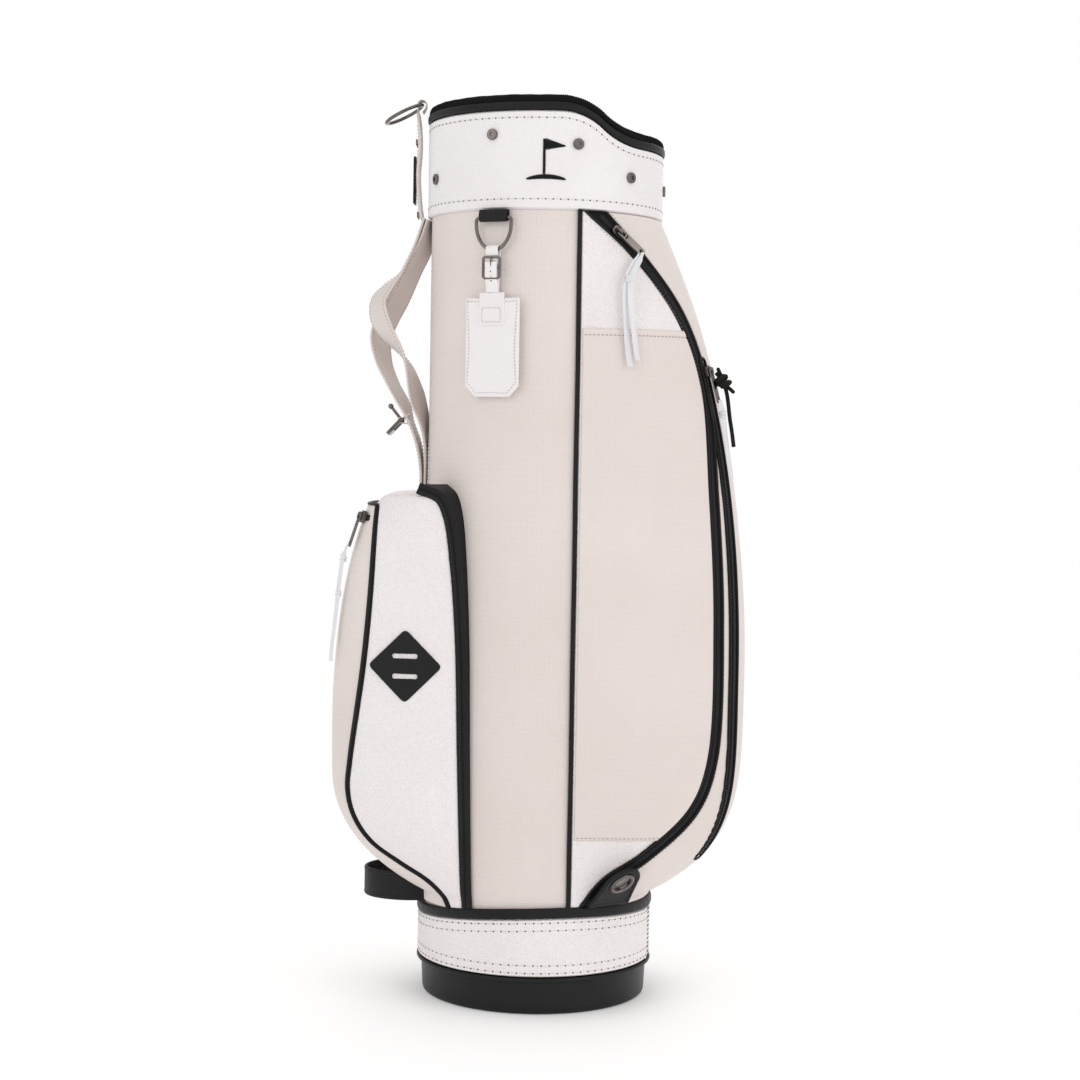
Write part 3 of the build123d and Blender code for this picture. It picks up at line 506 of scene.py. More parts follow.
def plan_shape(pocket, z):
    """Superellipse of the plan at heights z: its two half-lengths and its power."""
    z = np.asarray(z, float)
    up = np.clip((z - pocket["widest"]) / (pocket["head"] - pocket["widest"]), 0, None)
    down = np.clip((pocket["widest"] - z) / (pocket["widest"] - FOOT), 0, None)
    reach = pocket["reach"] - pocket["top_gain"] * up ** pocket["top_power"]
    reach = np.where(z < pocket["widest"], pocket["reach"] - pocket["foot_gain"] * down ** pocket["foot_power"],
                     reach)
    reach = np.maximum(reach, SKIN_R + 0.4)
    power = 2 + 2 * (reach - SKIN_R) / (pocket["reach"] - SKIN_R)
    seam = pocket["seam"]
    across = sin(seam) / (SKIN_R ** -power - (cos(seam) / reach) ** power) ** (1 / power)
    return reach, across, power


def plan_radius(pocket, z, angle):
    """Distance from the axis to the pocket's outside."""
    reach, across, power = plan_shape(pocket, z)
    return ((np.cos(angle) / reach) ** power + (np.abs(np.sin(angle)) / across) ** power) ** (-1 / power)


def skin(pocket, angle, z, lift=0.0):
    """Points on a pocket's outside, and the outward direction there. Angles below 0 are on the -Y side."""
    angle, z = np.broadcast_arrays(np.asarray(angle, float), np.asarray(z, float))
    r = plan_radius(pocket, z, angle)
    turn = (plan_radius(pocket, z, angle + 1e-3) - plan_radius(pocket, z, angle - 1e-3)) / 2e-3
    rise = plan_radius(pocket, z + 0.5, angle) - plan_radius(pocket, z - 0.5, angle)
    side = pocket["side"]
    ca, sa = np.cos(angle), np.sin(angle)
    along = np.stack([turn * ca - r * sa, turn * sa + r * ca, np.zeros_like(r)], -1)
    upward = np.stack([rise * ca, rise * sa, np.ones_like(r)], -1)
    normal = unit(np.cross(along, upward))
    point = np.stack([r * ca, r * sa, z], -1) + normal * np.asarray(lift, float)[..., None]
    point[..., 0] *= side
    normal[..., 0] *= side
    return point, normal


def angle_at(pocket, x, z):
    """Angle on the -Y side of the pocket's outside at a given x."""
    reach, across, power = plan_shape(pocket, z)
    depth = across * (1 - np.minimum(np.abs(x) / reach, 0.999) ** power) ** (1 / power)
    return -np.arctan2(depth, np.abs(x))


def line_angles(pocket, line, z, shift=0.0):
    """Angle on the -Y side where a side-view line, shifted to its side, crosses heights z."""
    line = np.asarray(line)
    run = unit(np.gradient(line, axis=0))
    moved = line + np.stack([run[:, 1], -run[:, 0]], 1) * shift
    order = np.argsort(moved[:, 1])
    x = np.interp(z, moved[order, 1], moved[order, 0])
    return angle_at(pocket, x, z)


def on_line(pocket, line, low, high, mirror):
    """A side-view line laid on a pocket's outside, with its outward directions."""
    line = np.asarray(line)
    line = line[(line[:, 1] > low) & (line[:, 1] < high)]
    angle = angle_at(pocket, line[:, 0], line[:, 1])
    return skin(pocket, -angle if mirror else angle, line[:, 1])


def settle(pocket, points, lift):
    """Moves points straight out or in to a pocket's outside, plus a lift."""
    points = np.asarray(points, float)
    angle = np.arctan2(points[..., 1], points[..., 0] * pocket["side"])
    return skin(pocket, angle, points[..., 2], lift)


def strip_on(pocket, path, normals, profile, widen=1.0):
    """A flat profile of (side, out) pairs carried along a path, following the pocket across its width."""
    profile = np.asarray(profile, float)
    _, _, side = frames_along(path, normals)
    reach = profile[None, :, 0] * np.broadcast_to(widen, len(path))[:, None]
    flat = path[:, None, :] + side[:, None, :] * reach[..., None]
    points, _ = settle(pocket, flat, np.broadcast_to(profile[None, :, 1], flat.shape[:2]))
    return closed_band(points)


def tucked(shape):
    """A shape cut off level where it goes under the collar."""
    verts, faces = shape
    verts = np.array(verts, float)
    verts[:, 2] = np.minimum(verts[:, 2], TOP_TUCK)
    return verts, faces


def rim_z(x):
    """Height of the collar leather's upper edge: level, then down an S of two equal arcs, then level."""
    x = np.asarray(x, float)
    middle, end = RIM_START + RIM_ARC, RIM_START + 2 * RIM_ARC
    bend = (RIM_ARC ** 2 + (RIM_DROP / 2) ** 2) / RIM_DROP
    first = bend - np.sqrt(bend ** 2 - np.clip(x - RIM_START, 0, RIM_ARC) ** 2)
    last = RIM_DROP - (bend - np.sqrt(bend ** 2 - np.clip(end - x, 0, RIM_ARC) ** 2))
    return RIM_TOP - np.where(x < RIM_START, 0, np.where(x < middle, first, np.where(x < end, last, RIM_DROP)))


def cuff_z(x):
    """Height of the base cuff's upper edge, a curve through (-140, 78), (0, 96) and (140, 88)."""
    x = np.asarray(x, float)
    a, b = np.linalg.solve([[140.0, 140.0 ** 2], [-140.0, 140.0 ** 2]], [-8.0, -18.0])
    return 96.0 + a * x + b * x * x


def around(azimuth, r, z):
    """Points on a circle about the bag's axis. Azimuth 0 is the -Y side and 90 the +X side, in degrees."""
    angle = np.radians(np.asarray(azimuth, float))
    r, z = np.broadcast_to(r, angle.shape), np.broadcast_to(z, angle.shape)
    return np.stack([r * np.sin(angle), -r * np.cos(angle), z], -1)


def outward(azimuth):
    """Direction away from the bag's axis."""
    return around(azimuth, 1.0, 0.0)


def hoop(shapes, azimuths, profile):
    """A band round the bag: profile(azimuths) gives r and z, one row for each point of its closed outline."""
    r, z = profile(azimuths)
    points = around(np.broadcast_to(azimuths[:, None], r.T.shape), r.T, z.T)
    shapes.add(points.reshape(-1, 3), grid_faces(*points.shape[:2], wrap_rows=True, wrap_cols=True))


def hoop_piece(name, azimuths, profile, material, **options):
    """A band round the bag as a piece of its own."""
    shapes = Shapes()
    hoop(shapes, azimuths, profile)
    return shapes.piece(name, material, **options)


def x_of(azimuth, r=119.0):
    """The x of a point on a circle about the bag's axis."""
    return r * np.sin(np.radians(azimuth))


# ---------------------------------------------------------------- base

TURN = np.linspace(0, 360, 361)[:-1]
FINE_TURN = np.linspace(0, 360, 721)[:-1]
cap = Shapes()
CAP_OUTLINE = np.array(((0.5, 0.0), (60, 0.0), (60.4, 1.4), (64, 1.4), (64.4, 0), (76, 0), (76.4, 1.4), (80, 1.4),
                        (80.4, 0), (92, 0), (92.4, 1.4), (96, 1.4), (96.4, 0), (109.6, 0), (111.8, 0.5),
                        (113.4, 1.7), (114.1, 3.4), (114.4, 8), (115.5, 31.6), (115.9, 32.4), (119.2, 33.4),
                        (120.1, 34.2), (120.4, 35.2), (120.2, 36.6), (119.6, 37.4), (112.3, 37.4), (112.2, 38.2),
                        (112.2, 83.5), (111.8, 84), (109.8, 84), (109.4, 83.5), (109.4, 7), (108.8, 6),
                        (0.5, 6.0)))                # a floor with rings under it, a flange, and a wall up inside
hoop(cap, TURN, lambda az: (CAP_OUTLINE[:, :1] + 0 * az, CAP_OUTLINE[:, 1:] + 0 * az))
for azimuth in np.arange(0, 360, 15):       # short ribs moulded under the flange
    rib = around(np.array([azimuth - 0.5, azimuth + 0.5] * 2), np.array([114.2, 114.2, 116.3, 116.3]),
                 np.array([24.0, 24.0, 33.2, 33.2]))
    rib = np.vstack([rib, around(np.array([azimuth - 0.5, azimuth + 0.5]), 113.0, 33.2)])
    cap.add(rib, ((0, 1, 3, 2), (2, 3, 5, 4), (4, 5, 1, 0), (0, 2, 4), (1, 5, 3)))
cap.piece("base_cap_moulding", BASE_PLASTIC, slot="moulded_base", replaces="base_cap")

CUFF_LOW, CUFF_ROWS = 38.4, (4.0, 11.6)     # the cuff's lower edge, and its stitch rows from either edge


def needle_holes(shapes, line, pitch, radius):
    """Dark discs of painted shade in the leather, standing in for the holes where a closed row of stitches goes
    through.
    """
    runs = runs_along(line)
    count = int(runs[-1] / pitch)
    for k in range(count):
        p = values_at(k * runs[-1] / count, runs, line)
        out = unit(p * (1, 1, 0))
        shapes.add(*swept([p - out * 0.6, p + out * 0.22], circle(radius, 8), normals=(0, 0, 1)))


def sewn_ring(thread, holes, r, z, pitch, length, thick, hole_r):
    """A closed row of stitches round the bag at heights z, and discs of painted shade at the holes that it goes
    through.
    """
    line, ups = (np.vstack([v, v[:1]]) for v in (around(FINE_TURN, r, z), outward(FINE_TURN)))
    stitches(thread, line, ups, pitch, length, thick)
    needle_holes(holes, line, pitch, hole_r)


def cuff_profile(az):
    """Padded leather with rounded edges and a groove under each row of stitches."""
    top = cuff_z(x_of(az))
    share = np.linspace(0, 1, 40)[:, None]
    z = CUFF_LOW + (top - CUFF_LOW) * share
    near = np.minimum(z - CUFF_LOW, top - z)
    puff = 0.45 * np.clip(1 - np.abs(near - 7.8) / 3.0, 0, 1) ** 2 + 0.25 * np.clip(near / 18, 0, 1)
    groove = sum(0.35 * np.exp(-((near - row) / 0.8) ** 2) for row in CUFF_ROWS)
    edge = np.sqrt(np.clip(1 - (1 - np.clip(near / 1.6, 0, 1)) ** 2, 0, 1))
    r = 115.9 + 3.35 * (0.35 + 0.65 * edge) + puff * 0.5 - groove
    inner = 115.85 + 0 * z[:2]
    return np.vstack([r, inner]), np.vstack([z, z[-1:], z[:1]])


hoop_piece("cuff_leather", TURN, cuff_profile, WHITE_LEATHER, slot="white_leather", replaces="base_band")

cuff_hole_shade, cuff_thread = Shapes(), Shapes()
for row in CUFF_ROWS:
    for z in (CUFF_LOW + row, cuff_z(x_of(FINE_TURN)) - row):
        sewn_ring(cuff_thread, cuff_hole_shade, 119.05, z, 8.0, 6.2, 0.36, 0.85)
cuff_thread.piece("cuff_stitching", WHITE_THREAD, slot="white_leather")
# the needle-hole discs are painted shade: dark colour standing in for the shade inside the holes
cuff_hole_shade.piece("cuff_needle_hole_shade", DARK_THREAD_AND_HOLE_SHADE, slot="white_leather")

SEAM_AZIMUTH = 74.0
overlap = Shapes()
zs = np.linspace(38.6, float(cuff_z(x_of(SEAM_AZIMUTH))) - 0.2, 30)
path = around(np.full(30, SEAM_AZIMUTH), 119.1, zs)
overlap.add(*swept(path, rounded(0.9, 1.0, 0.4), normals=outward(SEAM_AZIMUTH)))
overlap.piece("cuff_overlap_edge", WHITE_LEATHER, slot="white_leather")
overlap_thread = Shapes()
for shift in (2.4, 4.4):
    path = around(np.full(30, SEAM_AZIMUTH + shift), 119.25, zs)
    stitches(overlap_thread, path, outward(SEAM_AZIMUTH + shift), 4.2, 2.6, 0.4)
overlap_thread.piece("cuff_overlap_stitching", DARK_THREAD_AND_HOLE_SHADE, slot="white_leather")


def trim_profile(az):
    """Rolled leather: a soft outer bulge that is pinched a little between its two edges."""
    low = cuff_z(x_of(az)) + 0.5
    turns = np.linspace(0, 2 * pi, 25)[:-1][:, None]
    pinch = 0.10 * np.sin(np.radians(az) * 47) * np.sin(np.radians(az) * 13 + 1)
    r = 118.3 + np.sign(np.cos(turns)) * np.abs(np.cos(turns)) ** 0.75 * (2.4 + pinch)
    z = low + 5.1 + np.sign(np.sin(turns)) * np.abs(np.sin(turns)) ** 0.6 * 5.1 + 0 * az
    return r, z


hoop_piece("cuff_top_roll", TURN, trim_profile, EDGE_LEATHER, slot="black_leather", replaces="base_trim")

# ---------------------------------------------------------------- body panel


def body_profile(az):
    """Cloth over a stiff liner: nearly straight, with a slight waviness away from its ends."""
    z = np.linspace(CUFF_LOW, 845.6, 190)[:, None]
    wave = (0.10 * np.sin(np.radians(az) * 9 + z / 140) + 0.07 * np.sin(np.radians(az) * 23 + z / 61)
            + 0.05 * np.sin(z / 17 + np.radians(az) * 5))
    r = BODY_R - 0.25 + wave * np.clip((z - 105) / 40, 0, 1) * np.clip((780 - z) / 30, 0, 1)
    inner = np.array([[112.6], [112.6]]) + 0 * az
    return np.vstack([r, inner]), np.vstack([z + 0 * az, z[-1:] + 0 * az, z[:1] + 0 * az])


hoop_piece("body_panel", TURN, body_profile, CREAM_CLOTH, slot="cream_panel", replaces="body_shell")

# ---------------------------------------------------------------- collar and rim

COLLAR_LOW = 787.2
COLLAR_ROWS = dict(low=9.5, high=7.2)       # stitch rows from the lower and the upper edge


def collar_profile(az):
    """Leather over the moulded collar, with rounded edges and two grooves for its stitches."""
    top = rim_z(x_of(az)) - 0.2
    share = np.linspace(0, 1, 56)[:, None]
    z = COLLAR_LOW + (top - COLLAR_LOW) * share
    near_low, near_top = z - COLLAR_LOW, top - z
    near = np.minimum(near_low, near_top)
    edge = np.sqrt(np.clip(1 - (1 - np.clip(near / 1.5, 0, 1)) ** 2, 0, 1))
    groove = 0.28 * np.exp(-((near_low - COLLAR_ROWS["low"]) / 0.9) ** 2)
    groove = groove + 0.28 * np.exp(-((near_top - COLLAR_ROWS["high"]) / 0.9) ** 2)
    soft = 0.12 * np.sin(np.radians(az) * 7 + z / 23) * np.clip(near / 20, 0, 1)
    r = 116.0 + 3.05 * (0.3 + 0.7 * edge) - groove + soft + 0.15 * np.clip(1 - near_low / 9, 0, 1)
    return np.vstack([r, 115.9 + 0 * z[:2]]), np.vstack([z, z[-1:], z[:1]])


hoop_piece("collar_leather", TURN, collar_profile, COLLAR_LEATHER, slot="white_leather", replaces="collar_band")
collar_thread, collar_hole_shade = Shapes(), Shapes()
for z in (COLLAR_LOW + COLLAR_ROWS["low"], rim_z(x_of(FINE_TURN)) - 0.2 - COLLAR_ROWS["high"]):
    sewn_ring(collar_thread, collar_hole_shade, 119.0, z, 7.3, 5.6, 0.34, 0.75)
collar_thread.piece("collar_stitching", WHITE_THREAD, slot="white_leather")
# the needle-hole discs are painted shade: dark colour standing in for the shade inside the holes
collar_hole_shade.piece("collar_needle_hole_shade", DARK_THREAD_AND_HOLE_SHADE, slot="white_leather")


def binding_profile(az):
    """Leather rolled over the collar's upper edge."""
    low = rim_z(x_of(az, 119.5)) + 0.4
    turns = np.linspace(0, 2 * pi, 21)[:-1][:, None]
    r = 118.2 + np.sign(np.cos(turns)) * np.abs(np.cos(turns)) ** 0.7 * 2.35
    z = low + 3.75 + np.sign(np.sin(turns)) * np.abs(np.sin(turns)) ** 0.6 * 3.75 + 0 * az
    return r + 0 * az, z


hoop_piece("rim_leather_binding", TURN, binding_profile, EDGE_LEATHER, slot="black_leather",
           replaces="rim_binding")

RIBS = 330


def pad_profile(az):
    """Ribbed knit over foam: crowned on top, with upright ridges."""
    top_line = rim_z(x_of(az, 114.0))
    rib = 0.32 * np.cos(np.radians(az) * RIBS)
    wander = 0.25 * np.sin(np.radians(az) * 17) + 0.2 * np.sin(np.radians(az) * 41 + 1)
    turns = np.linspace(0, pi, 17)[:, None]
    r = 112.4 + np.sign(np.cos(turns)) * np.abs(np.cos(turns)) ** 0.55 * (6.5 + rib + 0 * turns)
    lift = np.abs(np.sin(turns)) ** 0.75
    z = top_line + 8.5 + lift * (6.9 + rib * 0.8 + wander * 0.5) + 0 * turns
    inner_r = np.array([[105.9], [105.9], [108.3], [108.3]]) + 0 * az
    inner_z = np.array([[4.0], [-2.0], [-2.0], [8.6]]) + top_line
    inner_z[0] = top_line + 6
    return np.vstack([r, inner_r]), np.vstack([z, inner_z])


rib_turn = np.arange(RIBS * 4) * 360.0 / (RIBS * 4)
pad = hoop_piece("rim_knit_pad", rib_turn, pad_profile, BLACK_KNIT, slot="black_knit", replaces="rim_pad")

# ---------------------------------------------------------------- apparel bag

ZIP_HALF = 5.6
SIDE_LOW, SIDE_HIGH = SIDE_TUCK, TOP_TUCK


def side_grid(z, inner_lift, far, left=0.005):
    """Grid on a side pocket between the seam and the curved zip, one row for each height."""
    shares = close_spaced(34)[None, :]
    start = -FRONT["seam"] + left
    end = line_angles(FRONT, ZIP_LINE, z, ZIP_HALF)
    end = np.maximum(end, start + 0.004)[:, None]
    angle = start + (end - start) * shares
    angle = -angle[:, ::-1] if far else angle
    return skin(FRONT, angle, np.broadcast_to(z[:, None], angle.shape), inner_lift)


def folds(points, amount, seed):
    """A slow unevenness, as of cloth held along its edges."""
    local = np.random.default_rng(seed)
    swell = np.zeros(points.shape[:2])
    for _ in range(7):
        way = local.normal(size=3) * (0.012, 0.012, 0.02)
        swell += np.sin(points @ way * 2.2 + local.uniform(0, 6.28)) * local.uniform(0.3, 1.0)
    near = np.clip(edge_distance(points) / 22.0, 0, 1)
    return swell * amount / 4 * near ** 1.5


def zip_tooth(shapes, place, side, up, reach, section):
    """One tooth, lying across its zip."""
    shapes.add(*swept([place - side * reach, place + side * reach], section, normals=up))


FRONT_ZIP = -radians(22.5)                  # the accessory zip's place on the apparel bag, and its two ends
FRONT_ZIP_LOW, FRONT_ZIP_HIGH = 150.0, 646.0
SLIP_LOW, SLIP_HIGH = 173.4, 673.6
for far in (False, True):
    word = "far" if far else "near"
    # white leather behind the slip panel
    heights = SIDE_LOW + (SIDE_HIGH - SIDE_LOW) * close_spaced(170, (0.0, 0.001, 0.003, 0.006))
    points, normals = side_grid(heights, -SHEET, far)
    made = Shapes()
    made.add(*panel(points, normals, SHEET - 0.1, edge=1.2, swell=folds(points, 0.6, 3) * 0.5))
    piece = made.piece(f"side_pocket_leather_{word}", WHITE_LEATHER, slot="white_leather",
                       replaces=f"side_pocket_{word}")
    # cream slip panel with a turned hem along its open top
    heights = np.concatenate([SLIP_LOW + np.array((0, 0.4, 1.0, 2.0, 3.5)),
                              np.linspace(SLIP_LOW + 6, SLIP_HIGH - 19, 125),
                              SLIP_HIGH - np.array((16, 13, 10.5, 9, 8, 7.2, 6.5, 5.8, 5.1, 4, 3, 2, 1.2, 0.5,
                                                    0))])
    points, normals = side_grid(heights, 0.25, far, left=0.022)
    hem = np.exp(-((SLIP_HIGH - heights - 6.5) / 1.1) ** 2) * 0.45
    roll = np.clip(1 - np.abs(SLIP_HIGH - heights - 3.0) / 3.2, 0, 1) ** 0.5 * 1.0
    calm = 1 - np.exp(-((SLIP_HIGH - heights - 6.5) / 8.0) ** 2)
    swell = folds(points, 0.8, 11) * calm[:, None] + (roll - hem)[:, None]
    made = Shapes()
    made.add(*panel(points, normals, 1.35, edge=1.3, swell=np.maximum(swell, -0.2)))
    slip = made.piece(f"slip_pocket_panel_{word}", CREAM_CLOTH, slot="cream_panel", replaces=f"side_slip_{word}")
    along, across = np.diff(points, axis=0), np.diff(points, axis=1)
    flat = np.linalg.norm(across, axis=2).sum(axis=1).max(), np.linalg.norm(along, axis=2).sum(axis=0).max()
    made = Shapes()
    for drop, rail, long, thick in ((SLIP_HIGH - 6.5, 1.35, 2.9, 0.42), (SLIP_LOW + 2.4, 1.62, 2.8, 0.34)):
        row_points, row_normals = side_grid(np.array([drop, drop + 0.01]), rail, far, left=0.03)
        stitches(made, row_points[0], row_normals[0], 4.0, long, thick)
    rows = made.piece(f"slip_pocket_stitching_{word}", PALE_THREAD, slot="cream_panel")
    # curved zip: two pipings with dark tape and closed teeth between them
    path, normals = on_line(FRONT, ZIP_LINE, SIDE_TUCK, TOP_TUCK + 12, mirror=far)
    path, runs = spaced_along(path, 2.2)
    path, normals = settle(FRONT, path, 0.0)
    made = Shapes()
    widen = 1 + 0.55 * np.clip((path[:, 2] - 738.0) / 48.0, 0, 1) ** 1.5
    made.add(*tucked(strip_on(FRONT, path, normals, [
        (-5.3, -2.6), (5.3, -2.6), (5.3, 0.15), (3.4, 0.2), (1.2, -0.1), (0.7, -0.45), (-0.7, -0.45),
        (-1.2, -0.1), (-3.4, 0.2), (-5.3, 0.15)], widen)))
    made.piece(f"side_zip_tape_{word}", ZIP_CLOTH, slot="zip_tape", replaces=f"side_zip_{word}")
    made = Shapes()
    _, normal, side = frames_along(path, normals)
    for across, thick in ((-4.9, 1.3), (4.9, 1.5)):
        rail, _ = settle(FRONT, path + side * (across * widen)[:, None], 0.35)
        made.add(*tucked(tube(rail, thick, 10)))
    made.piece(f"side_zip_piping_{word}", EDGE_LEATHER, slot="black_leather")
    made = Shapes()
    below = path[:, 2] < TOP_TUCK - 8
    for across in (-7.1, 7.2):
        rail, rail_normals = settle(FRONT, (path + side * (across * widen)[:, None])[below], 0.05)
        second_zip, _ = skin(FRONT, np.full(len(rail), FRONT_ZIP), rail[:, 2])
        hidden = (np.linalg.norm(rail - second_zip, axis=1) < 8.8) & (rail[:, 2] < FRONT_ZIP_HIGH + 3)
        for run in np.split(np.arange(len(rail)), np.flatnonzero(np.diff(hidden)) + 1):
            if len(run) > 3 and not hidden[run[0]]:
                stitches(made, rail[run], rail_normals[run], 3.6, 2.4, 0.22, lift=0.02)
    made.piece(f"side_zip_stitching_{word}", PALE_THREAD, slot="white_leather")
    made = Shapes()
    teeth, _ = spaced_along(path[path[:, 2] < TOP_TUCK - 1], 2.0)
    teeth, teeth_normals = settle(FRONT, teeth, 0.0)
    tangents, ups, sides = frames_along(teeth, teeth_normals)
    for k in range(2, len(teeth) - 2):
        for shift, ahead in ((-0.9, 0.0), (0.9, 1.0)):
            zip_tooth(made, teeth[k] + sides[k] * shift + tangents[k] * ahead - ups[k] * 0.35, sides[k], ups[k],
                      0.8, rounded(0.9, 0.7, 0.25, 1))
    made.piece(f"side_zip_teeth_{word}", TEETH, slot="zip_tape")

# front panel: cream cloth between the two curved zips, with the accessory zip's gap in it
heights = SIDE_LOW + (SIDE_HIGH - SIDE_LOW) * close_spaced(180, (0.0, 0.001, 0.003, 0.006))
zip_angle = line_angles(FRONT, ZIP_LINE, heights, -ZIP_HALF)
gap_lift = np.clip(np.minimum(heights - FRONT_ZIP_LOW, FRONT_ZIP_HIGH - heights) / 3.0, 0, 1)
shares = close_spaced(60)[None, :]
angle = zip_angle[:, None] * (1 - 2 * shares)
points, normals = skin(FRONT, angle, np.broadcast_to(heights[:, None], angle.shape), -SHEET)
radius_here = plan_radius(FRONT, heights, FRONT_ZIP)[:, None]
beside = np.abs(angle - FRONT_ZIP) * radius_here
trough = -1.6 * np.clip(1 - np.clip(beside - 5.0, 0, 3) / 2.0, 0, 1) * gap_lift[:, None]
made = Shapes()
made.add(*panel(points, normals, SHEET - 0.1, edge=1.2, swell=folds(points, 1.4, 23) + trough))
made.piece("front_panel", CREAM_CLOTH, slot="cream_panel", replaces="front_pocket")

zs = np.arange(FRONT_ZIP_LOW + 2, FRONT_ZIP_HIGH - 1, 2.0)
path, normals = skin(FRONT, np.full(len(zs), FRONT_ZIP), zs)
made = Shapes()
made.add(*strip_on(FRONT, path, normals, [(-6.8, -2.6), (6.8, -2.6), (6.8, -0.1), (1.6, -0.1), (-1.6, -0.1),
                                          (-6.8, -0.1)]))
made.piece("front_zip_tape", ZIP_CLOTH, slot="zip_tape", replaces="front_zip")
made = Shapes()
tangents, ups, sides = frames_along(path, normals)
loop = [settle(FRONT, path + sides * across, 0.45)[0] for across in (-6.3, 6.3)]
top_arc = [settle(FRONT, path[-1] + sides[-1] * 6.3 * cos(t) + tangents[-1] * 4.6 * sin(t), 0.45)[0]
           for t in np.linspace(pi, 0, 9)[1:-1]]
low_arc = [settle(FRONT, path[0] + sides[0] * 6.3 * cos(t) - tangents[0] * 4.6 * sin(t), 0.45)[0]
           for t in np.linspace(0, pi, 9)[1:-1]]
made.add(*tube(np.vstack([loop[0], top_arc, loop[1][::-1], low_arc]), 1.35, 10, closed=True))
made.piece("front_zip_piping", EDGE_LEATHER, slot="black_leather")
made = Shapes()
teeth_z = np.arange(FRONT_ZIP_LOW + 6, FRONT_ZIP_HIGH - 6, 1.6)
teeth, teeth_normals = skin(FRONT, np.full(len(teeth_z), FRONT_ZIP), teeth_z)
_, ups, sides = frames_along(teeth, teeth_normals)
for k in range(len(teeth)):
    shift = 0.8 if k % 2 else -0.8
    zip_tooth(made, teeth[k] + sides[k] * shift + ups[k] * 0.25, sides[k], ups[k], 1.3,
              rounded(1.15, 0.9, 0.3, 1))
made.piece("front_zip_teeth", TEETH, slot="zip_tape")

# upright piping at the seams of the apparel bag
made = Shapes()
for side in (-1, 1):
    zs = np.linspace(SIDE_TUCK, TOP_TUCK, 230)
    sway = 0.15 * np.sin(zs / 31.0)
    x0, y0 = SEAM_X - 2.2, side * (SKIN_R - 0.4) * sin(FRONT["seam"])
    path = np.stack([x0 + sway, np.full(len(zs), y0), zs], 1)
    made.add(*tube(path, 1.75, 12))
    fold = np.stack([x0 + 1.2 + sway, np.full(len(zs), y0 - side * 0.5), zs], 1)
    made.add(*swept(fold, rounded(2.6, 0.9, 0.4, 2), normals=(0.28, side, 0)))
made.piece("upright_seam_piping", EDGE_LEATHER, slot="black_leather", replaces="seam_piping")

# ---------------------------------------------------------------- ball pocket


def ball_top(x):
    """Height of the pocket's top edge in the side view."""
    return np.interp(x, (-240, -164, -161.5, -159, -156, -152.5, -147, -138, -104, -96),
                     (497.6, 498.0, 500.0, 503.2, 506.0, 507.9, 509.2, 509.5, 510.0, 508.0))


made = Shapes()
shares = close_spaced(30)[None, :]
heights = BALL_TUCK + (497.4 - BALL_TUCK) * close_spaced(120, (0.0, 0.001, 0.003, 0.006))
edge = line_angles(BALL, PIPING_LINE, heights, 2.4)
angle = edge[:, None] * (1 - 2 * shares)
points, normals = skin(BALL, angle, np.broadcast_to(heights[:, None], angle.shape), -SHEET)
BALL_ZIP_Z = 484.0
crown = 1.2 * np.clip(edge_distance(points) / 30.0, 0, 1) ** 0.8
channel = -1.5 * np.exp(-((heights - BALL_ZIP_Z) / 3.4) ** 4)[:, None]
channel = channel * np.clip((edge_distance(points) - 3) / 6, 0, 1)
made.add(*panel(points, normals, SHEET - 0.1, edge=1.4, swell=folds(points, 1.2, 31) + crown + channel))
made.piece("ball_pocket_panel", CREAM_CLOTH, slot="cream_panel", replaces="ball_panel")

made = Shapes()
for far in (False, True):
    heights = BALL_TUCK + (511.0 - BALL_TUCK) * close_spaced(130, (0.0, 0.001, 0.003, 0.006))
    front = line_angles(BALL, PIPING_LINE, heights, -2.2)
    back = line_angles(BALL, BINDING_LINE, heights, 11.0)
    front = np.minimum(front, -0.2)
    angle = back[:, None] + (front - back)[:, None] * shares
    angle = -angle if far else angle
    points, normals = skin(BALL, angle, np.broadcast_to(heights[:, None], angle.shape), -SHEET)
    limit = ball_top(points[..., 0])
    over = np.clip(points[..., 2] - (limit - 7.0), 0, None)
    points[..., 2] = np.minimum(points[..., 2], limit - 3.0)
    made.add(*panel(points, normals, SHEET - 0.1, edge=1.3,
                    swell=folds(points, 0.9, 41) + 0.5 * np.clip(edge_distance(points) / 20, 0, 1)
                    - 0.02 * np.clip(over, 0, 14) ** 1.6))
top_rows = []
for x in np.linspace(-163.5, -104.5, 40):
    reach, across, power = plan_shape(BALL, np.array(ball_top(x)))
    half = float(across * (1 - min(abs(x) / float(reach), 0.999) ** float(power)) ** (1 / float(power)))
    ys = np.linspace(-1, 1, 41) * (half - 1.0)
    drop = 7.5 * (1 - np.sqrt(np.clip(1 - np.clip((np.abs(ys) - half + 8.5) / 8.0, 0, 1) ** 2, 0, 1)))
    front_drop = 3.0 * (1 - sqrt(max(0.0, 1 - min(1, max(0, (-160.0 - x) / 4.0)) ** 2)))
    top_rows.append(np.stack([np.full(41, x), ys, ball_top(x) - 2.2 - drop - front_drop], 1))
top_points = np.array(top_rows)
along = np.gradient(top_points, axis=0)
across_rows = np.gradient(top_points, axis=1)
top_normals = unit(np.cross(along, across_rows))
top_normals = np.where(top_normals[..., 2:] < 0, -top_normals, top_normals)
made.add(*panel(top_points, top_normals, 2.2, edge=1.0, swell=folds(top_points, 0.8, 5)))
made.piece("ball_pocket_gusset", WHITE_LEATHER, slot="white_leather", replaces="ball_gusset")

